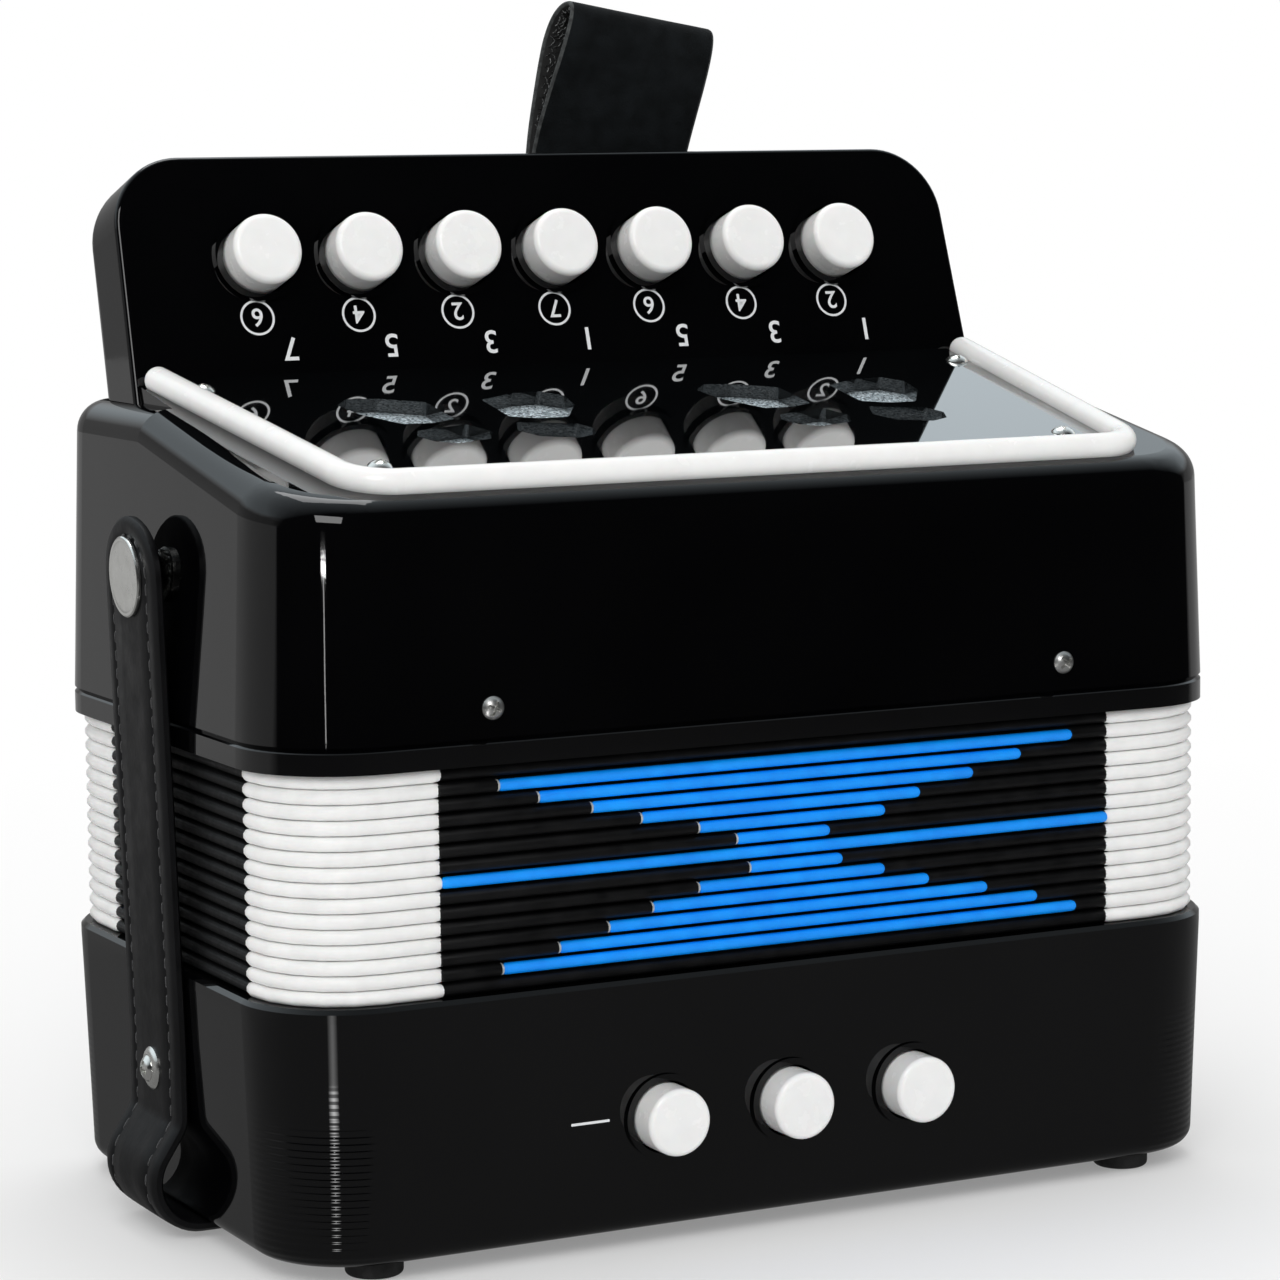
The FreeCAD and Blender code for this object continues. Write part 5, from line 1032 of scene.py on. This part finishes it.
# %% The dash beside the air button
DRAFT, WALL_TOP, WALL_FRONT = math.radians(2), 42.8, -54
DASH_X, DASH_UP, DASH_PROUD, DASH_LENGTH, DASH_HEIGHT = -36.85, 22.2, 0.01, 6.9 * mm, 0.42 * mm
leans_in = math.tan(DRAFT) * (WALL_TOP - DASH_UP)
spot = Vector((DASH_X, WALL_FRONT + leans_in - DASH_PROUD, DASH_UP)) * mm
dash_size = Matrix.Diagonal((DASH_LENGTH, INK, DASH_HEIGHT, 1))
bass_ink = bmesh.new()
bmesh.ops.create_cube(bass_ink, size=1,
                      matrix=Matrix.Translation(spot) @ Matrix.Rotation(-DRAFT, 4, "X") @ dash_size)
new_piece("air_dash", bass_ink, ink_white, "bass_end", 30)
print("the dash is printed")

# %% [markdown]
# ## Stage
#
# A pale floor and an even white surround, as in a packshot. The camera sees plain white, while shiny
# surfaces see what a studio has: a bright backdrop behind, a bright panel high up behind, and a dark
# room in front. That keeps black plastic black and still gives its edges their bright lines.

# %% Floor
FLOOR_HALF, FLOOR_DROP = 4, 0.1 * mm
floor_mesh = bpy.data.meshes.new("floor")
ground = bmesh.new()
bmesh.ops.create_grid(ground, x_segments=4, y_segments=4, size=FLOOR_HALF)
bmesh.ops.translate(ground, verts=ground.verts, vec=(0, 0, -FLOOR_DROP))
ground.to_mesh(floor_mesh)
ground.free()
floor = bpy.data.objects.new("floor", floor_mesh)
bpy.context.scene.collection.objects.link(floor)
paper = bpy.data.materials.new("floor_paper")
paper.use_nodes = True
floor_mesh.materials.append(paper)
tree = paper.node_tree
tree.nodes.clear()
place = shader_node(tree, "ShaderNodeNewGeometry").outputs["Position"]
distance = with_vectors(tree, "LENGTH", place, gives="Value")
backwards = shader_node(tree, "ShaderNodeSeparateXYZ", [(0, place)]).outputs["Y"]
matt = shader_node(tree, "ShaderNodeBsdfDiffuse", [("Color", (0.86, 0.86, 0.86, 1))]).outputs[0]
glow = shader_node(tree, "ShaderNodeEmission", [("Color", (1, 1, 1, 1)), ("Strength", 1.0)]).outputs[0]
faded = light_between(tree, between(tree, distance, 0.25, 1, 0.12, 0.5), matt, glow)
# shiny surfaces see the floor as a glow, which is painted light: dim near the front and brighter far behind
at_front = between(tree, distance, 0.16, 0.01, 0.35, 0.9)
at_back = between(tree, distance, 0.19, 0.4, 0.25, 0.6)
plain = number_between(tree, between(tree, backwards, 0, 1, -0.06, 0.06), at_front, at_back)
print("floor is laid")

# %% The floor in reflections glows with painted light, and a painted streak of light runs out from the front left corner
STREAK_FROM, STREAK_ACROSS, STREAK_LIGHT = (-0.072, -0.038, 0), (-0.80, 0.60, 0), 11.0
away = with_vectors(tree, "SUBTRACT", place, STREAK_FROM)
way = with_vectors(tree, "NORMALIZE", away)
aside = arithmetic(tree, "ABSOLUTE", with_vectors(tree, "DOT_PRODUCT", way, STREAK_ACROSS, gives="Value"))
reach = with_vectors(tree, "LENGTH", away, gives="Value")
narrow = between(tree, aside, 1, 0, 0.01, 0.09)
begins = between(tree, reach, 0, 1, 0.05, 0.075)
dims = between(tree, reach, 1, 0.22, 0.105, 0.125)
ends = between(tree, reach, 1, 0, 0.2, 0.4)
in_front = between(tree, backwards, 1, 0, -0.06, -0.04)
streak = product(tree, narrow, begins, dims, ends, in_front)
strength = number_between(tree, streak, plain, STREAK_LIGHT)
mirrored = shader_node(tree, "ShaderNodeEmission", [("Strength", strength)]).outputs[0]


def by_looker(tree, lighting, in_mirrors, in_view):
    """One look for lighting, one for shiny surfaces, and one for the camera, also through clear things."""
    paths = shader_node(tree, "ShaderNodeLightPath").outputs
    seen = arithmetic(tree, "MAXIMUM", paths["Is Camera Ray"], paths["Is Transmission Ray"])
    by_rays = light_between(tree, paths["Is Glossy Ray"], lighting, in_mirrors)
    return light_between(tree, seen, by_rays, in_view)


shader_node(tree, "ShaderNodeOutputMaterial", [(0, by_looker(tree, matt, mirrored, faded))])
print("floor is ready")

# %% Surround
FRONT_LIGHT, PANEL_LIGHT, SOFT_LIGHT, PANEL_TINT = 0.012, 0.95, 0.85, (0.84, 0.94, 1.0)
world = bpy.data.worlds.new("surround")
bpy.context.scene.world = world
world.use_nodes = True
tree = world.node_tree
tree.nodes.clear()
direction = shader_node(tree, "ShaderNodeTexCoord").outputs["Generated"]
axes = shader_node(tree, "ShaderNodeSeparateXYZ", [(0, direction)]).outputs
backdrop = between(tree, axes["X"], 0.24, 0.28, -0.45, 0.35)
raised = between(tree, axes["Z"], 0, 1, 0.22, 0.36)
wall = number_between(tree, raised, backdrop, PANEL_LIGHT)
# the edge between the back and the dark front is sharp at the horizon and soft overhead
up = arithmetic(tree, "MAXIMUM", axes["Z"], 0.0)
softness = arithmetic(tree, "MULTIPLY_ADD", up, 0.55, 0.01)
is_back = between(tree, arithmetic(tree, "DIVIDE", axes["Y"], softness), 0, 1, -1, 1)
room = number_between(tree, is_back, FRONT_LIGHT, wall)


def background(color, strength):
    """A plain background for the surround."""
    made = shader_node(world.node_tree, "ShaderNodeBackground", [("Color", color), ("Strength", strength)])
    return made.outputs[0]


WHITE = (1, 1, 1, 1)
shiny = background(tint(tree, raised, (1, 1, 1), PANEL_TINT), room)
final = by_looker(tree, background(WHITE, SOFT_LIGHT), shiny, background(WHITE, 1.0))
shader_node(tree, "ShaderNodeOutputWorld", [(0, final)])
print("surround is ready")

# %% Lamps
LAMP_AWAY, CORNER_WAY = 1.2, (-0.63, -0.777, 0)


def soft_lamp(name, towards, width, height, power):
    """A flat lamp at a distance from the accordion, facing its middle."""
    light = bpy.data.lights.new(name, "AREA")
    light.shape = "RECTANGLE"
    light.size, light.size_y = width, height
    light.energy = power
    lamp = bpy.data.objects.new(name, light)
    bpy.context.scene.collection.objects.link(lamp)
    aim = Vector(towards).normalized()
    lamp.location = Vector((0, 0, 0.1)) + aim * LAMP_AWAY
    lamp.rotation_euler = aim.to_track_quat("Z", "Y").to_euler()
    return lamp


# a narrow lamp for the thin line on the front left corner, and a flat one for the spark above it
for name, width, height, level, power in (("strip_lamp", 0.022, 0.075, 0.037, 0.035),
                                         ("spark_lamp", 0.10, 0.003, 0.076, 0.06)):
    lamp = soft_lamp(name, CORNER_WAY, width, height, power)
    lamp.location.z = level
soft_lamp("key_lamp", (-0.45, -0.72, 0.62), 0.5, 0.5, 3.4)
soft_lamp("top_lamp", (0.1, 0.35, 1.0), 0.6, 0.6, 3.2)
print("four lamps")
